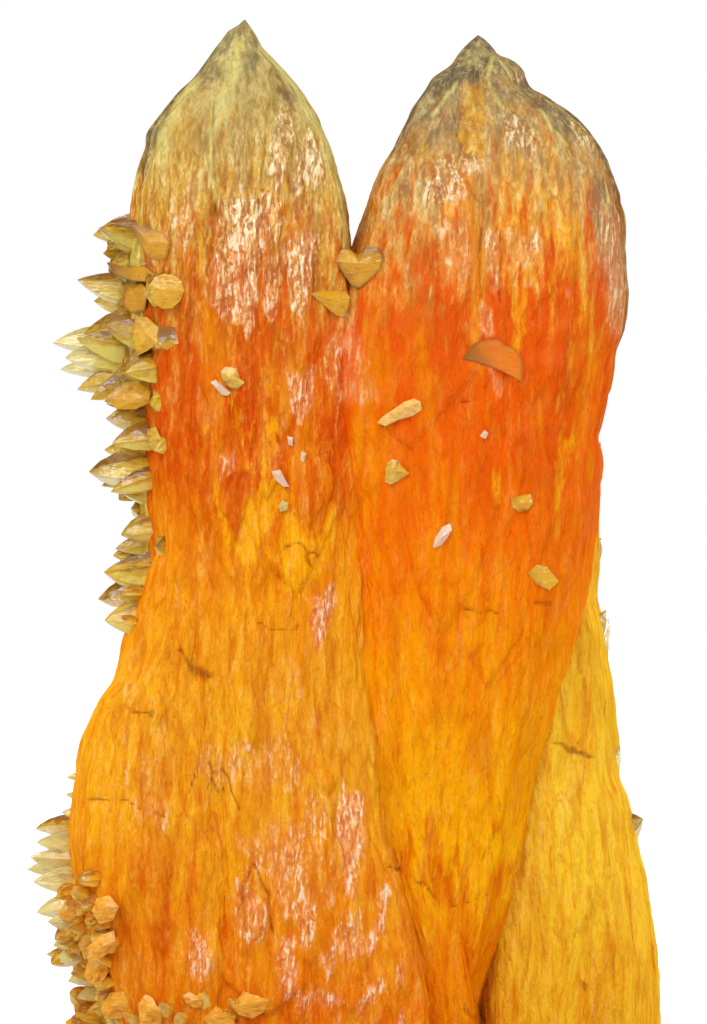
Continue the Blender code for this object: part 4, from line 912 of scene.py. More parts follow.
def crystal_grid(crystal):
    """A large crystal's side as a grid of points, level by level from the tip, and its named values."""
    which, seed = crystal["name"], crystal["seed"]
    heights, turns, section, centre, half = crystal_rings(crystal)
    flat = centre[:, None, :] + half[:, None, :] * section[None, :, :]
    girth = (2.6 * half.sum(axis=1))[:, None]
    turn = np.broadcast_to(turns, flat.shape[:2])
    z = np.broadcast_to(heights[:, None], flat.shape[:2])
    x = flat[..., 0]
    facing = smoothstep(0.25, -0.35, section[:, 1])[None, :] * np.ones_like(x)
    out, tone, flank = growth_relief(turn, z, girth, seed)
    out += facing * front_forms(which, turn, x, z, seed)
    marks = {name: facing * value for name, value in front_marks(turn, x, z, seed).items()}
    sunk = CRACK_DEPTH * smoothstep(0.4, 1.0, marks["crack"])
    out += VEIN_LIFT * marks["vein"] - sunk + FOIL_LIFT * marks["foil"] - AMBER_DEPTH * marks["amber"]
    fade = np.clip(half.min(axis=1) / FULL_RELIEF_HALF_WIDTH, 0.0, 1.0)[:, None]
    held = EDGE_RELIEF + (1 - EDGE_RELIEF) * np.abs(section[:, 1])[None, :]
    normal = section * half[:, None, ::-1]
    normal = normal / np.linalg.norm(normal, axis=2, keepdims=True)
    right = smoothstep(-0.12, 0.12, x - seam_x(z)) if which == "core" else float(which == "right")
    values = {
        **marks, "tone": tone, "flank": flank, "rim": rim_shade_share(which, x, z, centre[:, :1], normal),
        "right": np.zeros(x.shape) + right, "rear": np.full(x.shape, float(which == "rear")),
        "own": np.ones(x.shape),
    }
    flat = flat + normal * (out * fade * held)[..., None]
    return np.concatenate([flat, z[..., None]], axis=2), values


def crystal_tip(crystal):
    """The tip's place, which closes the top ring."""
    height, left, right, front, back = crystal["rows"][0]
    return np.array([(left + right) / 2, (front + back) / 2, height])


def ring_faces(levels, columns):
    """Faces of a grid that closes round, level by level from the top, with a tip and a flat foot."""
    level = np.arange(levels - 1)[:, None] * columns
    column = np.arange(columns)[None, :]
    after = (column + 1) % columns
    below = level + columns
    quads = np.stack([level + column, below + column, below + after, level + after], axis=-1)
    tip, foot = levels * columns, (levels - 1) * columns
    ring = np.arange(columns)
    caps = np.stack([np.full(columns, tip), ring, (ring + 1) % columns], axis=-1)
    return [*quads.reshape(-1, 4).tolist(), *caps.tolist(), [foot + k for k in range(columns)][::-1]]


def mesh_object(name, points, faces, values=None, shift=CENTRE_SHIFT):
    """A mesh object from points in millimetres, with named values kept on its points."""
    data = bpy.data.meshes.new(name)
    data.from_pydata(((np.asarray(points, float) + shift) * MM).tolist(), [], faces)
    for key, value in (values or {}).items():
        attribute = data.attributes.new(key, "FLOAT", "POINT")
        attribute.data.foreach_set("value", np.asarray(value, np.float32))
    data.update()
    obj = bpy.data.objects.new(name, data)
    bpy.context.scene.collection.objects.link(obj)
    return obj


def large_crystal(name, crystal):
    """One large crystal as a closed mesh."""
    grid, values = crystal_grid(crystal)
    points = np.vstack([grid.reshape(-1, 3), crystal_tip(crystal)])
    values = {key: np.append(value, value[0, 0]) for key, value in values.items()}
    return mesh_object(name, points, ring_faces(*grid.shape[:2]), values)


def apply_boolean(obj, other, operation):
    """Joins or cuts obj by other for good, and removes other."""
    modifier = obj.modifiers.new(operation, "BOOLEAN")
    modifier.operation = operation
    modifier.object = other
    modifier.solver = "MANIFOLD"
    evaluated = obj.evaluated_get(bpy.context.evaluated_depsgraph_get())
    data = bpy.data.meshes.new_from_object(evaluated)
    obj.modifiers.clear()
    obj.data = data
    bpy.data.objects.remove(other)


def fill_values(obj):
    """Gives the new points on seams and cuts their neighbours' mean values."""
    data = obj.data
    count = len(data.vertices)
    edges = np.zeros(2 * len(data.edges), np.int64)
    data.edges.foreach_get("vertices", edges)
    first, second = edges.reshape(-1, 2).T
    own = np.zeros(count, np.float32)
    data.attributes["own"].data.foreach_get("value", own)
    names = [a.name for a in data.attributes if a.domain == "POINT" and a.data_type == "FLOAT"]
    known = own > 0.99
    for _ in range(4):
        weight = np.bincount(first, known[second], count) + np.bincount(second, known[first], count)
        fresh = ~known & (weight > 0)
        for name in names:
            value = np.zeros(count, np.float32)
            data.attributes[name].data.foreach_get("value", value)
            kept = value * known
            total = np.bincount(first, kept[second], count) + np.bincount(second, kept[first], count)
            value = np.where(fresh, total / np.maximum(weight, 1), value)
            data.attributes[name].data.foreach_set("value", value.astype(np.float32))
        known = known | fresh


def drop_doubled_faces(data):
    """Removes faces that lie back to back on the same points: slivers that a union can leave."""
    shape = bmesh.new()
    shape.from_mesh(data)
    same = {}
    for face in shape.faces:
        same.setdefault(frozenset(face.verts), []).append(face)
    doubled = [face for faces in same.values() if len(faces) > 1 for face in faces]
    bmesh.ops.delete(shape, geom=doubled, context="FACES")
    shape.to_mesh(data)
    shape.free()


def ground_block():
    """The block under the cut."""
    size, depth = 100.0, 20.0
    corners = [(x, y, z) for z in (-depth, 0.0) for y in (-size, size) for x in (-size, size)]
    faces = [(0, 2, 3, 1), (4, 5, 7, 6), (0, 1, 5, 4), (2, 6, 7, 3), (0, 4, 6, 2), (1, 3, 7, 5)]
    return mesh_object("ground", corners, faces)


def finish_mesh(obj, material, sharp_degrees):
    """Smooth shading with sharp edges over an angle, a material, and its place on the frame."""
    obj.data.shade_smooth()
    obj.data.set_sharp_from_angle(angle=math.radians(sharp_degrees))
    obj.data.materials.clear()
    obj.data.materials.append(material)
    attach(obj, "root")
    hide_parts(CAD_NODE)


def grown_together(name, *crystals):
    """Large crystals grown together and cut flat."""
    body = large_crystal(name, crystals[0])
    for crystal in crystals[1:]:
        apply_boolean(body, large_crystal(crystal["name"], crystal), "UNION")
    apply_boolean(body, ground_block(), "DIFFERENCE")
    fill_values(body)
    return body


def tooth(root, tip, width, facing, seed, thickness=TOOTH_THICKNESS, white=0.1, orange=0.1):
    """A small crystal as points, faces and values. Its ridges bow outwards from root to tip.

    A point's place is root + (tip - root) * t + bend * (t * t - t), plus its corner of the section times
    the width times 1 - t * t * t, which gives bowed sides and a sharp tip.
    """
    root, tip, facing = (np.asarray(v, float) for v in (root, tip, facing))
    length = np.linalg.norm(tip - root)
    axis = (tip - root) / length
    across = np.cross(axis, facing)
    across /= np.linalg.norm(across)
    thin = np.cross(across, axis)
    draw = np.random.RandomState(seed)
    ridges = np.array(SMALL_SECTION) * draw.uniform(0.86, 1.1, (6, 1))
    hollow = (ridges + np.roll(ridges, -1, axis=0)) / 2 * draw.uniform(0.9, 1.0, (6, 1))
    section = np.stack([ridges, hollow], axis=1).reshape(-1, 2) * width / 2
    t = np.linspace(0, 1, TOOTH_RINGS, endpoint=False)[::-1]
    share = (1 - t**3) ** 0.9 * (0.8 + 0.2 * smoothstep(0.0, 0.4, t)) + 0.02 * draw.uniform(-1, 1, t.shape)
    bend = (across * draw.uniform(-0.12, 0.12) - thin * draw.uniform(0.0, 0.12)) * length
    spine = root + np.outer(t, tip - root) + np.outer(t * t - t, bend) * 2.0
    plane = section[None, :, :] * share[:, None, None]
    points = spine[:, None, :] + plane[..., :1] * across + plane[..., 1:] * thickness * thin
    points = np.vstack([points.reshape(-1, 3), tip])
    along = np.append(np.repeat(t, len(section)), 1.0)
    # Faces on the upper side are painted darker and browner and those underneath lighter, as painted shade
    # and light; each face also has a random tone.
    rise = (plane[..., :1] * across[2] + plane[..., 1:] * thin[2])[..., 0] * 2 / width
    faces_tone = np.stack([np.zeros(6), draw.uniform(-0.3, 0.4, 6)], axis=1).ravel()
    tone = draw.uniform(0.0, 0.3) - 1.1 * rise + 1.2 * faces_tone
    ridge = np.append(np.tile([1.0, 0.0], len(t) * len(ridges)), 1.0)
    values = {
        "tone": np.append(tone.ravel(), 0.0), "ridge": ridge, "orange": orange * (1 - 0.5 * along),
        "brown": draw.uniform(0.1, 0.7) * along**2, "white": white * along + 0.2 * orange,
    }
    return points, ring_faces(len(t), len(section)), values


def crust(name, teeth, bed=None):
    """Small crystals, and the bed that they stand on, grown together into one closed piece."""
    made = None
    for number, parts in enumerate(teeth):
        points, faces, values = parts
        values["own"] = np.ones(len(points))
        piece = mesh_object(f"{name}_{number}" if made else name, points, faces, values)
        if made:
            apply_boolean(made, piece, "UNION")
        else:
            made = piece
    if bed:
        grid, values = crystal_grid(bed)
        points = np.vstack([grid.reshape(-1, 3), crystal_tip(bed)])
        still = {name: np.zeros(len(points)) for name in ("ridge", "white", "brown", "orange")}
        still.update({"tone": np.append(values["tone"], 0.0), "own": np.ones(len(points))})
        apply_boolean(made, mesh_object("bed", points, ring_faces(*grid.shape[:2]), still), "UNION")
    apply_boolean(made, ground_block(), "DIFFERENCE")
    drop_doubled_faces(made.data)
    fill_values(made)
    return made


def flank_teeth(table, axis, seed, thickness=TOOTH_THICKNESS):
    """The small crystals of a table of those in view, rooted towards the axis."""
    for number, (x0, z0, x1, z1, width, depth, lean) in enumerate(table):
        root, tip = np.array([x0, depth, z0]), np.array([x1, depth - lean, z1])
        inward = np.array([*axis, z0]) - root
        facing = (0.25 * (number % 3 - 1), -1.0, 0.3 * (number % 4 - 1.5))
        root += inward / np.linalg.norm(inward) * ROOT_DEPTH
        white = 0.5 * smoothstep(-25.5, -28.5, x1)
        orange = 0.02 + 0.25 * smoothstep(*ORANGE_HEIGHTS, z0)
        yield tooth(root, tip, width * CRUST_STOUTNESS, facing, seed + number, thickness, white, orange)


def surface_place(crystal, turn, height):
    """A point of a large crystal's side without its relief, and the way it faces."""
    left, right, front, back = smooth_rows(crystal["rows"], np.array([float(height)]))[0]
    start = section_at(crystal["corners"], np.array([turn]))[0]
    half = np.array([(right - left) / 2, (back - front) / 2])
    point = np.array([(left + right) / 2, (front + back) / 2]) + half * start
    facing = start / half
    facing = np.array([*facing / np.linalg.norm(facing), 0.0])
    return np.array([*point, height]), facing


def hidden_teeth(crystal, seed, count, turns, heights, lengths):
    """A seeded crust where the view doesn't reach."""
    draw = np.random.RandomState(seed)
    for number in range(count):
        point, facing = surface_place(crystal, draw.uniform(*turns), draw.uniform(*heights))
        length = draw.uniform(*lengths)
        lean = np.array([draw.uniform(-0.3, 0.3), draw.uniform(-0.3, 0.3), draw.uniform(-0.4, 0.4)])
        tip = point + (facing + lean) * length
        root = point - facing * ROOT_DEPTH
        yield tooth(root, tip, length * HIDDEN_STOUTNESS, (0.2, 0.1, 1.0), 1000 * seed + number)


def field_teeth(depth, seed, count, xs, zs, lefts, downs, outs, widths):
    """Seeded small crystals on the front, from root to tip by the given ranges."""
    draw = np.random.RandomState(seed)
    for number in range(count):
        x, z = draw.uniform(*xs), draw.uniform(*zs)
        left, down, out, width = (draw.uniform(*span) for span in (lefts, downs, outs, widths))
        root = np.array([x, depth(x, z) + FIELD_ROOT_DEPTH, z])
        tip = np.array([x - left, depth(x, z) - out, z - down])
        facing = (draw.uniform(-0.5, 0.2), -1.0, draw.uniform(-0.2, 0.8))
        orange = 0.04 + 0.3 * smoothstep(*ORANGE_HEIGHTS, z)
        yield tooth(root, tip, width, facing, 1000 * seed + number, FIELD_THICKNESS, orange=orange)


def front_finder(*objects):
    """A function that gives the depth (Y) of the objects' front at a point of the view, in millimetres."""
    trees = []
    for obj in objects:
        points = [v.co.copy() for v in obj.data.vertices]
        trees.append(BVHTree.FromPolygons(points, [tuple(p.vertices) for p in obj.data.polygons]))

    def depth(x, z):
        start = (Vector((x, 0.0, z)) + Vector(CENTRE_SHIFT)) * MM
        start.y = -0.2
        hits = [tree.ray_cast(start, Vector((0.0, 1.0, 0.0)))[0] for tree in trees]
        return min([hit.y / MM - CENTRE_SHIFT[1] for hit in hits if hit], default=0.0)

    return depth


def chips(depth):
    """The flat small crystals on the front: an outline, rooted behind it, and facets up to a ridge point."""
    for number, (kind, lift, ridge, outline) in enumerate(CHIPS):
        flat = np.array([seen_place(*point) for point in outline])
        turn = flat * np.roll(flat, -1, axis=0)[:, ::-1]
        count = len(flat)
        order = np.arange(count) if (turn[:, 0] - turn[:, 1]).sum() > 0 else np.arange(count)[::-1]
        flat = flat[order]
        top = seen_place(*ridge)
        behind = np.array([depth(*place) for place in flat])
        near = min(depth(*top), np.median(behind)) - 0.3 * lift
        front = np.column_stack([flat[:, 0], np.minimum(near, behind - 0.12), flat[:, 1]])
        back = np.column_stack([flat[:, 0], np.maximum(behind, near) + 1.0, flat[:, 1]])
        points = np.vstack([front, back, (top[0], near - 0.7 * lift, top[1]), (*back.mean(axis=0),)])
        following = np.roll(np.arange(count), -1)
        faces = [(a, b, 2 * count) for a, b in zip(range(count), following)]
        faces += [(a + count, b + count, b, a) for a, b in zip(range(count), following)]
        faces += [(b + count, a + count, 2 * count + 1) for a, b in zip(range(count), following)]
        draw = np.random.RandomState(400 + number)
        white, brown, orange = CHIP_KINDS[kind]
        reach = np.hypot(*(flat - flat[np.argmin(order)]).T)
        stain = brown * (0.4 + 0.8 * smoothstep(0.7 * reach.max(), 0.0, reach))
        edge = np.concatenate([np.full(2 * count, 0.8 + 0.2 * (brown > 0.4)), [0.0, 0.0]])
        shades = draw.uniform(-0.35, 0.5, count)
        yield points, [tuple(int(k) for k in face) for face in faces], {
            "tone": np.concatenate([shades, shades, [0.2, 0.0]]), "ridge": edge,
            "brown": np.concatenate([stain, stain, [0.4 * brown, brown]]),
            "white": np.full(len(points), white), "orange": np.full(len(points), orange),
        }


class Field:
    """A number that varies over the surface. Used in an expression, it adds the Math nodes it needs."""

    def __init__(self, shading, socket):
        self.shading, self.socket = shading, socket

    def _math(self, operation, first, second=None):
        values = {0: first} if second is None else {0: first, 1: second}
        return self.shading.field("ShaderNodeMath", {"operation": operation}, values)

    def __add__(self, other):
        return self._math("ADD", self, other)

    def __radd__(self, other):
        return self._math("ADD", other, self)

    def __sub__(self, other):
        return self._math("SUBTRACT", self, other)

    def __rsub__(self, other):
        return self._math("SUBTRACT", other, self)

    def __mul__(self, other):
        return self._math("MULTIPLY", self, other)

    def __rmul__(self, other):
        return self._math("MULTIPLY", other, self)

    def __truediv__(self, other):
        return self._math("DIVIDE", self, other)

    def __rtruediv__(self, other):
        return self._math("DIVIDE", other, self)

    def __abs__(self):
        return self._math("ABSOLUTE", self)


class Shading:
    """A material's node tree, with one method for every kind of node."""

    def __init__(self, tree):
        self.tree = tree
        tree.nodes.clear()

    def node(self, kind, settings=None, values=None):
        """A node of this kind. Its settings come first, then its sockets' values or links."""
        node = self.tree.nodes.new(kind)
        for key, value in (settings or {}).items():
            if key == "stops":
                set_stops(node.color_ramp, value)
            else:
                setattr(node, key, value)
        for key, value in (values or {}).items():
            value = value.socket if isinstance(value, Field) else value
            if isinstance(value, bpy.types.NodeSocket):
                self.tree.links.new(value, node.inputs[key])
            else:
                node.inputs[key].default_value = value
        return node

    def field(self, kind, settings=None, values=None, output=0):
        """The number that a node gives."""
        return Field(self, self.node(kind, settings, values).outputs[output])

    def colour(self, kind, settings=None, values=None, output=0):
        """The colour or vector that a node gives."""
        return self.node(kind, settings, values).outputs[output]

    def point_values(self, *names):
        """The mesh's own values of these names."""
        return [self.field("ShaderNodeAttribute", {"attribute_name": name}, None, "Fac") for name in names]

    def principled(self, values):
        """A stone's shader, with calcite's refraction and the values given."""
        return self.node("ShaderNodeBsdfPrincipled", None, {"IOR": CALCITE_IOR, **values}).outputs[0]

    def ease(self, value, low, high):
        """0 below low, 1 above high, smooth between; or 1 to 0 where low is above high."""
        start, end = (0.0, 1.0) if low < high else (1.0, 0.0)
        values = {"Value": value, "From Min": min(low, high), "From Max": max(low, high)}
        values.update({"To Min": start, "To Max": end})
        return self.field("ShaderNodeMapRange", {"interpolation_type": "SMOOTHSTEP"}, values)

    def mix(self, share, first, second, way="MIX"):
        """A colour from first to second by share."""
        settings = {"data_type": "RGBA", "blend_type": way}
        return self.colour("ShaderNodeMix", settings, {0: share, 6: first, 7: second}, 2)

    def layered(self, colour, *layers):
        """A colour under layers. Each layer is its share and its own colour."""
        for share, layer in layers:
            colour = self.mix(share, colour, layer)
        return colour

    def scaled(self, vector, factors):
        """The vector times a factor for each direction."""
        values = {0: vector, 1: factors}
        return self.colour("ShaderNodeVectorMath", {"operation": "MULTIPLY"}, values)

    def moved(self, vector, step):
        """The vector plus a step."""
        return self.colour("ShaderNodeVectorMath", {"operation": "ADD"}, {0: vector, 1: step})

    def noise(self, vector, scale, detail=2.0, rough=0.5, bend=0.0):
        """Smooth noise from 0 to 1."""
        values = {"Vector": vector, "Scale": scale, "Detail": detail, "Roughness": rough, "Distortion": bend}
        return self.field("ShaderNodeTexNoise", None, values)


def set_stops(ramp, stops):
    """Sets a ramp's stops, each a place and a colour."""
    while len(ramp.elements) < len(stops):
        ramp.elements.new(0.5)
    for element, (place, colour) in zip(ramp.elements, stops):
        element.position, element.color = place, colour


def lean_facets(s, place, scale):
    """Height of small flat faces, longer upright, that lean every way."""
    squeezed = s.scaled(place, (1.0, 1.0, 0.38))
    cells = s.node("ShaderNodeTexVoronoi", {"feature": "F1"}, {"Vector": squeezed, "Scale": scale})
    subtract = {"operation": "SUBTRACT"}
    from_middle = s.colour("ShaderNodeVectorMath", subtract, {0: squeezed, 1: cells.outputs["Position"]})
    lean = s.colour("ShaderNodeVectorMath", subtract, {0: cells.outputs["Color"], 1: (0.5, 0.5, 0.5)})
    return s.field("ShaderNodeVectorMath", {"operation": "DOT_PRODUCT"}, {0: from_middle, 1: lean}, "Value")


def wrinkles(s, place, scale, detail, reach):
    """A wrinkle's height, and how far its side faces the light, from noise a reach before and behind."""
    steps = (tuple(side * reach * part for part in LIGHT_STEP) for side in (1.0, -1.0))
    near, far = (s.noise(s.moved(place, step), scale, detail, 0.66) for step in steps)
    return near, (near - far) * LIT_GAIN


def skin_cells(s, place, scale):
    """How far a place is from the borders of long small cells that lie together like a wrinkled skin."""
    warp = s.colour("ShaderNodeTexNoise", None, {"Vector": place, "Scale": 0.9, "Detail": 2.0}, "Color")
    pushed = s.colour("ShaderNodeVectorMath", {"operation": "ADD"}, {0: place, 1: warp})
    values = {"Vector": pushed, "Scale": scale}
    return s.field("ShaderNodeTexVoronoi", {"feature": "DISTANCE_TO_EDGE"}, values, "Distance")


def calcite_fields(s, place):
    """What the amber crystal's colours are made of: the mesh's own values, noises and cell patterns."""
    names = (
        "tone", "flank", "right", "rear", "vein", "crack", "rim", "smoke", "straw", "amber", "ember", "foil",
    )
    f = SimpleNamespace(**dict(zip(names, s.point_values(*names))))
    stretched = s.scaled(place, (1.0, 1.0, 0.34))
    f.z = Field(s, s.node("ShaderNodeSeparateXYZ", None, {0: place}).outputs["Z"])
    f.swell, f.lit = wrinkles(s, stretched, 1.3, 3.0, 0.1)
    f.fold_lit = wrinkles(s, s.scaled(place, (1.0, 1.0, 0.2)), 0.42, 2.0, 0.32)[1]
    f.crease = abs(s.noise(s.scaled(place, (1.0, 1.0, 0.12)), 0.4, 1.0, 0.5, 0.8) - 0.5)
    f.fine = s.noise(s.scaled(place, (1.0, 1.0, 0.4)), 4.2, 2.0, 0.6)
    f.skin = skin_cells(s, stretched, 1.3)
    f.facet = lean_facets(s, place, 0.95)
    f.streak = s.noise(s.scaled(place, (1.0, 1.0, 0.17)), 0.8, 3.0, 0.6)
    f.band = s.noise(s.scaled(place, (1.0, 1.0, 0.16)), 0.3, 2.0, 0.6)
    f.drift = s.noise(s.scaled(place, (1.0, 1.0, 0.35)), 0.16, 3.0) - 0.5
    f.ragged = 0.6 * (f.streak - 0.5) + 0.6 * (f.swell - 0.5)
    f.cover = s.ease(f.foil + 0.8 * f.ragged + 0.2 * f.tone, 0.3, 0.75)
    f.top = s.ease(f.z + 8.0 * f.drift + 24.0 * (f.streak - 0.5) - 3.0 * f.right, 68.0, 90.0)
    f.tip = s.ease(f.z + 8.0 * f.drift, 84.0, 96.0)
    return f


def zone_colours(s, f):
    """The zones of colour up each crystal, with bands, streaks and the drawn patches."""
    zone_z = (f.z + 12.0 * f.drift + (40.0 + 12.0 * f.right) * (f.streak - 0.5)) / ZONE_TOP
    left, right, rear = (
        s.colour("ShaderNodeValToRGB", {"stops": stops}, {0: zone_z})
        for stops in (LEFT_ZONES, RIGHT_ZONES, REAR_ZONES)
    )
    deep = s.mix(f.top, DEEP_ORANGE, GOLD_BROWN)
    return s.layered(
        s.mix(f.rear, s.mix(f.right, left, right), rear),
        (s.ease(f.band, 0.52, 0.7) * 0.35, BRIGHT_YELLOW),
        (s.ease(f.band, 0.48, 0.3) * 0.3, deep),
        (s.ease(f.streak, 0.52, 0.72) * 0.3, BRIGHT_YELLOW),
        (s.ease(f.streak, 0.46, 0.3) * 0.35, deep),
        (s.ease(f.tone, -0.15, -0.8) * 0.22, deep),
        (s.ease(f.tone, 0.2, 0.8) * 0.22, BRIGHT_YELLOW),
        (s.ease(f.ember + 2.2 * f.ragged, 0.25, 1.1) * 0.75, deep),
        (s.ease(f.amber + 2.6 * f.ragged, 0.3, 1.1) * 0.75, BRIGHT_YELLOW),
        (s.ease(f.smoke + 0.6 * f.ragged, 0.1, 0.9) * 0.75, SMOKE_GREY),
        # Painted shade: the dark rim.
        (s.ease(f.rim + 0.6 * f.ragged, 0.1, 0.9) * 0.7, RIM_SHADE_BROWN),
        (s.ease(f.straw + 1.4 * f.ragged, 0.25, 0.8) * 0.8, VEIN_YELLOW),
        (s.ease(f.vein + 0.5 * f.ragged, 0.25, 0.8) * 0.75, VEIN_YELLOW),
        # Painted sheen: the foil patches' paler fill.
        (f.cover * 0.55, s.mix(f.top, SHEEN_PEACH, SHEEN_GOLD)),
    )


def wrinkled_colours(s, f, zones):
    """The zones with painted shade in creases and on the shaded sides of wrinkles and folds, painted light,
    highlights and glints on their lit sides, and cracks over them, which follow the wrinkles.
    """
    # Painted shade: the zones under a darker tint, laid on the shaded sides of folds and wrinkles, in
    # creases, along the small cells' borders and along the plates' bevelled edges; a fine random grain is
    # darker with it too.
    dark = s.mix(1.0, zones, s.mix(f.tip, s.mix(f.top, SHADE_TINT, GOLD_TINT), TIP_TINT), "MULTIPLY")
    # Painted light: the folds' lit sides, paler.
    light = s.mix(f.top, PALE_AMBER, HIGHLIGHT_STRAW)
    # Painted highlights on the wrinkles' lit sides, stronger on the foil patches.
    painted_highlight = s.mix(f.top, s.mix(f.cover, PALE_AMBER, HIGHLIGHT_PEACH), s.mix(f.cover, HIGHLIGHT_STRAW, HIGHLIGHT_GOLD))
    # Painted glints: near-white spots on the wrinkles' lit sides.
    white = s.mix(f.top, PINK_WHITE_FOR_GLINTS_AND_CRYSTALS, GLINT_CREAM)
    calm = 1.0 - 0.6 * f.right * (1.0 - f.top)
    wrinkled = f.top * (1.0 - 0.5 * f.tip)
    glint = f.lit + 0.5 * f.fold_lit + 0.3 * f.cover + 1.0 * (f.fine - 0.5)
    return s.layered(
        zones,
        (s.ease(f.fold_lit, -0.1, -1.0) * (0.25 + 0.35 * wrinkled) * calm, dark),
        (s.ease(f.fold_lit, 0.1, 1.0) * (0.22 + 0.35 * wrinkled) * calm, light),
        (s.ease(f.crease, 0.05, 0.01) * (0.3 + 0.3 * f.top) * calm * (1.0 - 0.9 * f.tip), dark),
        (s.ease(f.lit, -0.1, -1.1) * (0.2 + 0.35 * wrinkled + 0.35 * f.cover) * calm, dark),
        (s.ease(f.skin, 0.16, 0.03) * (0.1 + 0.2 * wrinkled + 0.5 * f.cover) * calm, dark),
        (s.ease(f.flank + 0.8 * f.ragged, 0.35, 0.95) * (0.35 + 0.3 * f.cover), dark),
        (s.ease(f.fine, 0.46, 0.3) * 0.25, dark),
        (s.ease(f.lit + 0.2 * f.cover, 0.1, 1.0) * (0.14 + 0.26 * wrinkled + 0.4 * f.cover) * calm, painted_highlight),
        (s.ease(glint, 0.8, 1.4) * (0.06 + 0.2 * wrinkled + 0.6 * f.cover) * calm, white),
        (s.ease(f.crack + 0.2 * (f.fine - 0.5), 0.45, 0.95) * 0.6, CRACK_BROWN),
    )


def calcite_material():
    """Amber calcite: coloured zones and wrinkles with painted shade, light and highlights, glossier on the
    foil patches, and clearer at the tips.
    """
    material = bpy.data.materials.new("amber_calcite")
    material.use_nodes = True
    s = Shading(material.node_tree)
    place = s.scaled(s.node("ShaderNodeTexCoord").outputs["Object"], (1000.0, 1000.0, 1000.0))
    f = calcite_fields(s, place)
    colour = wrinkled_colours(s, f, zone_colours(s, f))
    height = 0.5 * f.swell + 0.1 * f.fine + 0.2 * f.facet
    bump = s.node("ShaderNodeBump", None, {"Strength": 1.0, "Distance": 0.001, "Height": height})
    surface = {"Base Color": colour, "Normal": bump.outputs[0]}
    dull = s.principled({**surface, "Roughness": 0.3, "Specular IOR Level": 0.0})
    shiny = s.principled({**surface, "Roughness": 0.12, "Specular IOR Level": 0.5})
    gloss = 0.03 + 0.22 * f.top + 0.4 * f.cover
    stone = s.node("ShaderNodeMixShader", None, {0: gloss, 1: dull, 2: shiny})
    surface["Base Color"] = s.mix(0.25, rgb(255, 248, 232), colour)
    clear = s.principled({**surface, "Roughness": 0.12, "Transmission Weight": 1.0})
    clearness = CLEAR_SHARE + (TIP_CLEAR - CLEAR_SHARE) * s.ease(f.z + 8.0 * f.drift, 82.0, 99.0)
    blend = s.node("ShaderNodeMixShader", None, {0: clearness, 1: stone.outputs[0], 2: clear})
    dye = s.node("ShaderNodeVolumeAbsorption", None, {"Color": DYE, "Density": DYE_DENSITY})
    s.node("ShaderNodeOutputMaterial", None, {"Surface": blend.outputs[0], "Volume": dye.outputs[0]})
    return material


def pale_material():
    """The small crystals: pale yellow and clear, browner and darker towards their tips."""
    material = bpy.data.materials.new("pale_calcite")
    material.use_nodes = True
    s = Shading(material.node_tree)
    place = s.scaled(s.node("ShaderNodeTexCoord").outputs["Object"], (1000.0, 1000.0, 1000.0))
    tone, ridge, white, brown, orange = s.point_values("tone", "ridge", "white", "brown", "orange")
    strands = s.noise(place, 1.6, 2.0, 0.5)
    lines = s.noise(s.scaled(place, (0.3, 1.0, 1.0)), 3.4, 2.0, 0.6)
    height = 0.1 * strands + 0.08 * lines
    bump = s.node("ShaderNodeBump", None, {"Strength": 1.0, "Distance": 0.001, "Height": height})
    shade = tone * (1.0 - 1.6 * orange) + 1.0 * (lines - 0.5) + 0.8 * (strands - 0.5)
    colour = s.mix(s.ease(shade, -0.45, 0.1), PALE_BROWN, PALE_KHAKI)
    colour = s.mix(s.ease(shade, 0.1, 0.7), colour, PALE_YELLOW)
    colour = s.mix(orange, colour, CHIP_ORANGE)
    colour = s.mix(s.ease(brown + 0.4 * (strands - 0.5), 0.1, 1.0) * 0.8, colour, TIP_BROWN)
    colour = s.mix(s.ease(ridge, 0.82, 1.0) * 0.5, colour, TIP_BROWN)
    colour = s.mix(s.ease(white + 0.4 * (lines - 0.5), 0.1, 0.5) * 0.8, colour, IVORY)
    colour = s.mix(s.ease(white, 0.6, 1.0), colour, PINK_WHITE_FOR_GLINTS_AND_CRYSTALS)
    surface = {"Base Color": colour, "Normal": bump.outputs[0]}
    stone = s.principled({**surface, "Roughness": 0.1, "Specular IOR Level": 0.22})
    surface["Base Color"] = s.mix(0.3, rgb(255, 252, 238), colour)
    clear = s.principled({**surface, "Roughness": 0.05, "Transmission Weight": 1.0})
    clearness = PALE_CLEAR * (1.0 - 2.0 * orange)
    blend = s.node("ShaderNodeMixShader", None, {0: clearness, 1: stone, 2: clear})
    dye = s.node("ShaderNodeVolumeAbsorption", None, {"Color": PALE_DYE, "Density": PALE_DENSITY})
    s.node("ShaderNodeOutputMaterial", None, {"Surface": blend.outputs[0], "Volume": dye.outputs[0]})
    return material


def build_stage():
    """A pale floor."""
    size = 3000.0
    floor = mesh_object("floor", [(-size, -size, 0), (size, -size, 0), (size, size, 0), (-size, size, 0)],
                        [(0, 1, 2, 3)], shift=0.0)
    material = bpy.data.materials.new("floor_white")
    material.use_nodes = True
    s = Shading(material.node_tree)
    seen = s.field("ShaderNodeLightPath", None, None, "Is Camera Ray")
    shader = s.node("ShaderNodeBsdfPrincipled", None, {
        "Base Color": (0.5, 0.5, 0.5, 1), "Roughness": 0.9, "Specular IOR Level": 0.0,
        "Emission Color": (1, 1, 1, 1), "Emission Strength": 0.7 * seen,
    })
    s.node("ShaderNodeOutputMaterial", None, {"Surface": shader.outputs[0]})
    floor.data.materials.append(material)


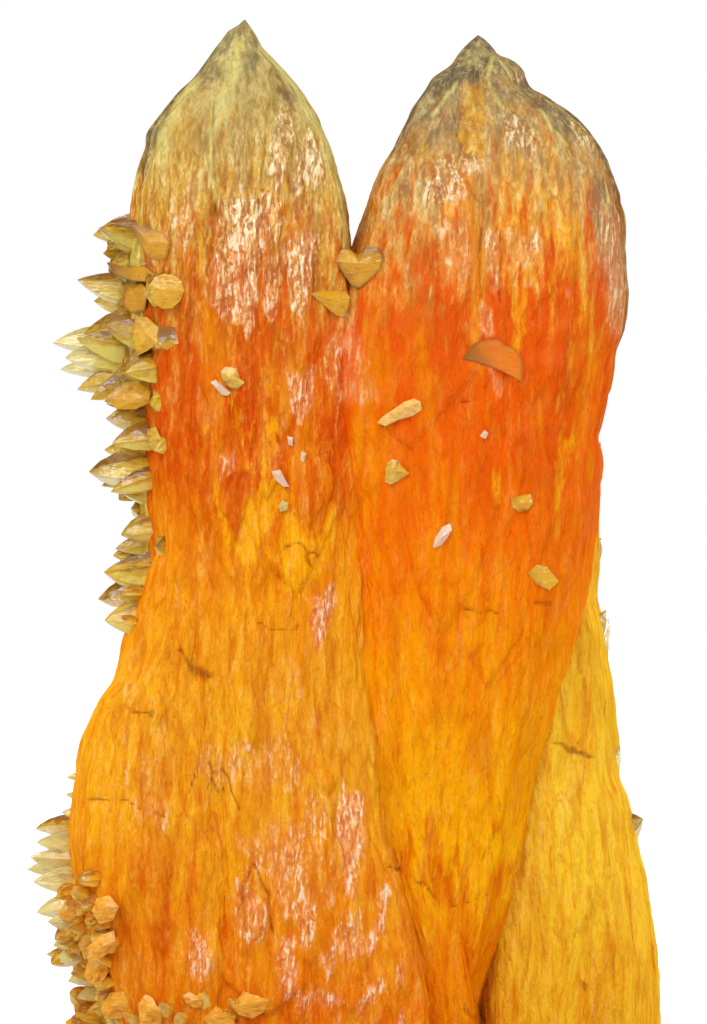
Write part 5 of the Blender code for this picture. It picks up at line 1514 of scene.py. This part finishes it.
def area_light(name, place, size, power, colour=(1, 1, 1), diffuse=False):
    """A soft light at place that shines on the specimen and isn't seen; one without diffuse only glints."""
    data = bpy.data.lights.new(name, "AREA")
    data.shape = "RECTANGLE"
    data.size, data.size_y = size[0] * MM, size[1] * MM
    data.energy = power
    data.color = colour
    light = bpy.data.objects.new(name, data)
    light.location = Vector(place) * MM
    light.rotation_euler = (Vector((0, 0, 55)) - Vector(place)).to_track_quat("-Z", "Y").to_euler()
    light.visible_camera = False
    light.visible_diffuse = diffuse
    light.visible_transmission = False
    bpy.context.scene.collection.objects.link(light)


def build_lights():
    """A white surround that is brightest behind the specimen, and small bright lights before it."""
    world = bpy.data.worlds.new("surround")
    world.use_nodes = True
    world.cycles_visibility.glossy = False
    s = Shading(world.node_tree)
    place = s.node("ShaderNodeTexCoord")
    parts = s.node("ShaderNodeSeparateXYZ", None, {0: place.outputs["Generated"]})
    behind = s.ease(Field(s, parts.outputs[1]), -0.2, 0.6)
    strength = WORLD_FRONT + (WORLD_BACK - WORLD_FRONT) * behind
    seen = s.field("ShaderNodeLightPath", None, None, "Is Camera Ray")
    shown = strength + seen * (1.0 - strength)
    white = s.node("ShaderNodeBackground", None, {"Color": (1, 1, 1, 1), "Strength": shown})
    s.node("ShaderNodeOutputWorld", None, {"Surface": white.outputs[0]})
    bpy.context.scene.world = world
    area_light("key", (-300, -600, 500), (260, 260), 1.5, diffuse=True)
    area_light("glint_right", (460, -480, 240), (200, 260), 2.4)
    area_light("glint_left", (-400, -520, 300), (200, 200), 1.8)
    area_light("glint_top", (60, -420, 560), (260, 160), 1.6)
    area_light("rim_right", (520, 120, 160), (120, 240), 1.0, (0.95, 0.93, 1.0))


def build_camera():
    """Level camera whose frame is the photograph's at the plane through the specimen's middle."""
    data = bpy.data.cameras.new("camera")
    data.sensor_width = SENSOR_MM
    data.lens = SENSOR_MM * CAMERA_DISTANCE_MM / (IMAGE_HEIGHT * PIXEL_MM)
    data.clip_start, data.clip_end = 0.01, 10.0
    camera = bpy.data.objects.new("camera", data)
    across = (IMAGE_WIDTH / 2 - CENTRE_PIXEL) * PIXEL_MM
    up = (FOOT_PIXEL - IMAGE_HEIGHT / 2) * PIXEL_MM
    camera.location = (Vector((across, -CAMERA_DISTANCE_MM, up)) + Vector(CENTRE_SHIFT)) * MM
    camera.rotation_euler = (math.radians(90), 0, 0)
    bpy.context.scene.collection.objects.link(camera)
    bpy.context.scene.camera = camera


def main():
    """Builds the specimen's six pieces, the floor, the lights and the camera."""
    left = grown_together("left_crystal", LEFT_CRYSTAL, SHOULDER_CRYSTAL)
    right = grown_together("right_crystal", RIGHT_CRYSTAL, REAR_CRYSTAL, CORE)
    depth = front_finder(left, right)
    amber = calcite_material()
    finish_mesh(left, amber, BODY_SHARP)
    finish_mesh(right, amber, BODY_SHARP)
    pale = pale_material()
    upper_hidden = [t for row in (HIDDEN_CRUSTS[0], HIDDEN_CRUSTS[2]) for t in hidden_teeth(*row)]
    lower_hidden = list(hidden_teeth(*HIDDEN_CRUSTS[1]))
    upper = [*flank_teeth(UPPER_CRUST, FLANK_AXIS, UPPER_SEED), *upper_hidden]
    upper += [t for row in FIELDS["upper"] for t in field_teeth(depth, *row)]
    lower = [*flank_teeth(LOWER_CRUST, FLANK_AXIS, LOWER_SEED), *lower_hidden]
    lower += [t for row in FIELDS["lower"] for t in field_teeth(depth, *row)]
    crusts = crust("upper_crust", upper, UPPER_BED), crust("lower_crust", lower, LOWER_BED)
    for piece in crusts:
        finish_mesh(piece, pale, SMALL_SHARP)
    scales = flank_teeth(EDGE_SCALES, REAR_AXIS, SCALE_SEED, SCALE_THICKNESS)
    finish_mesh(crust("edge_scales", scales), pale, SCALE_SHARP)
    lone = chips(front_finder(left, right, *crusts))
    finish_mesh(crust("lone_crystals", lone), pale, SMALL_SHARP)
    build_stage()
    build_lights()
    build_camera()
    bpy.context.scene.view_settings.view_transform = "Standard"


main()
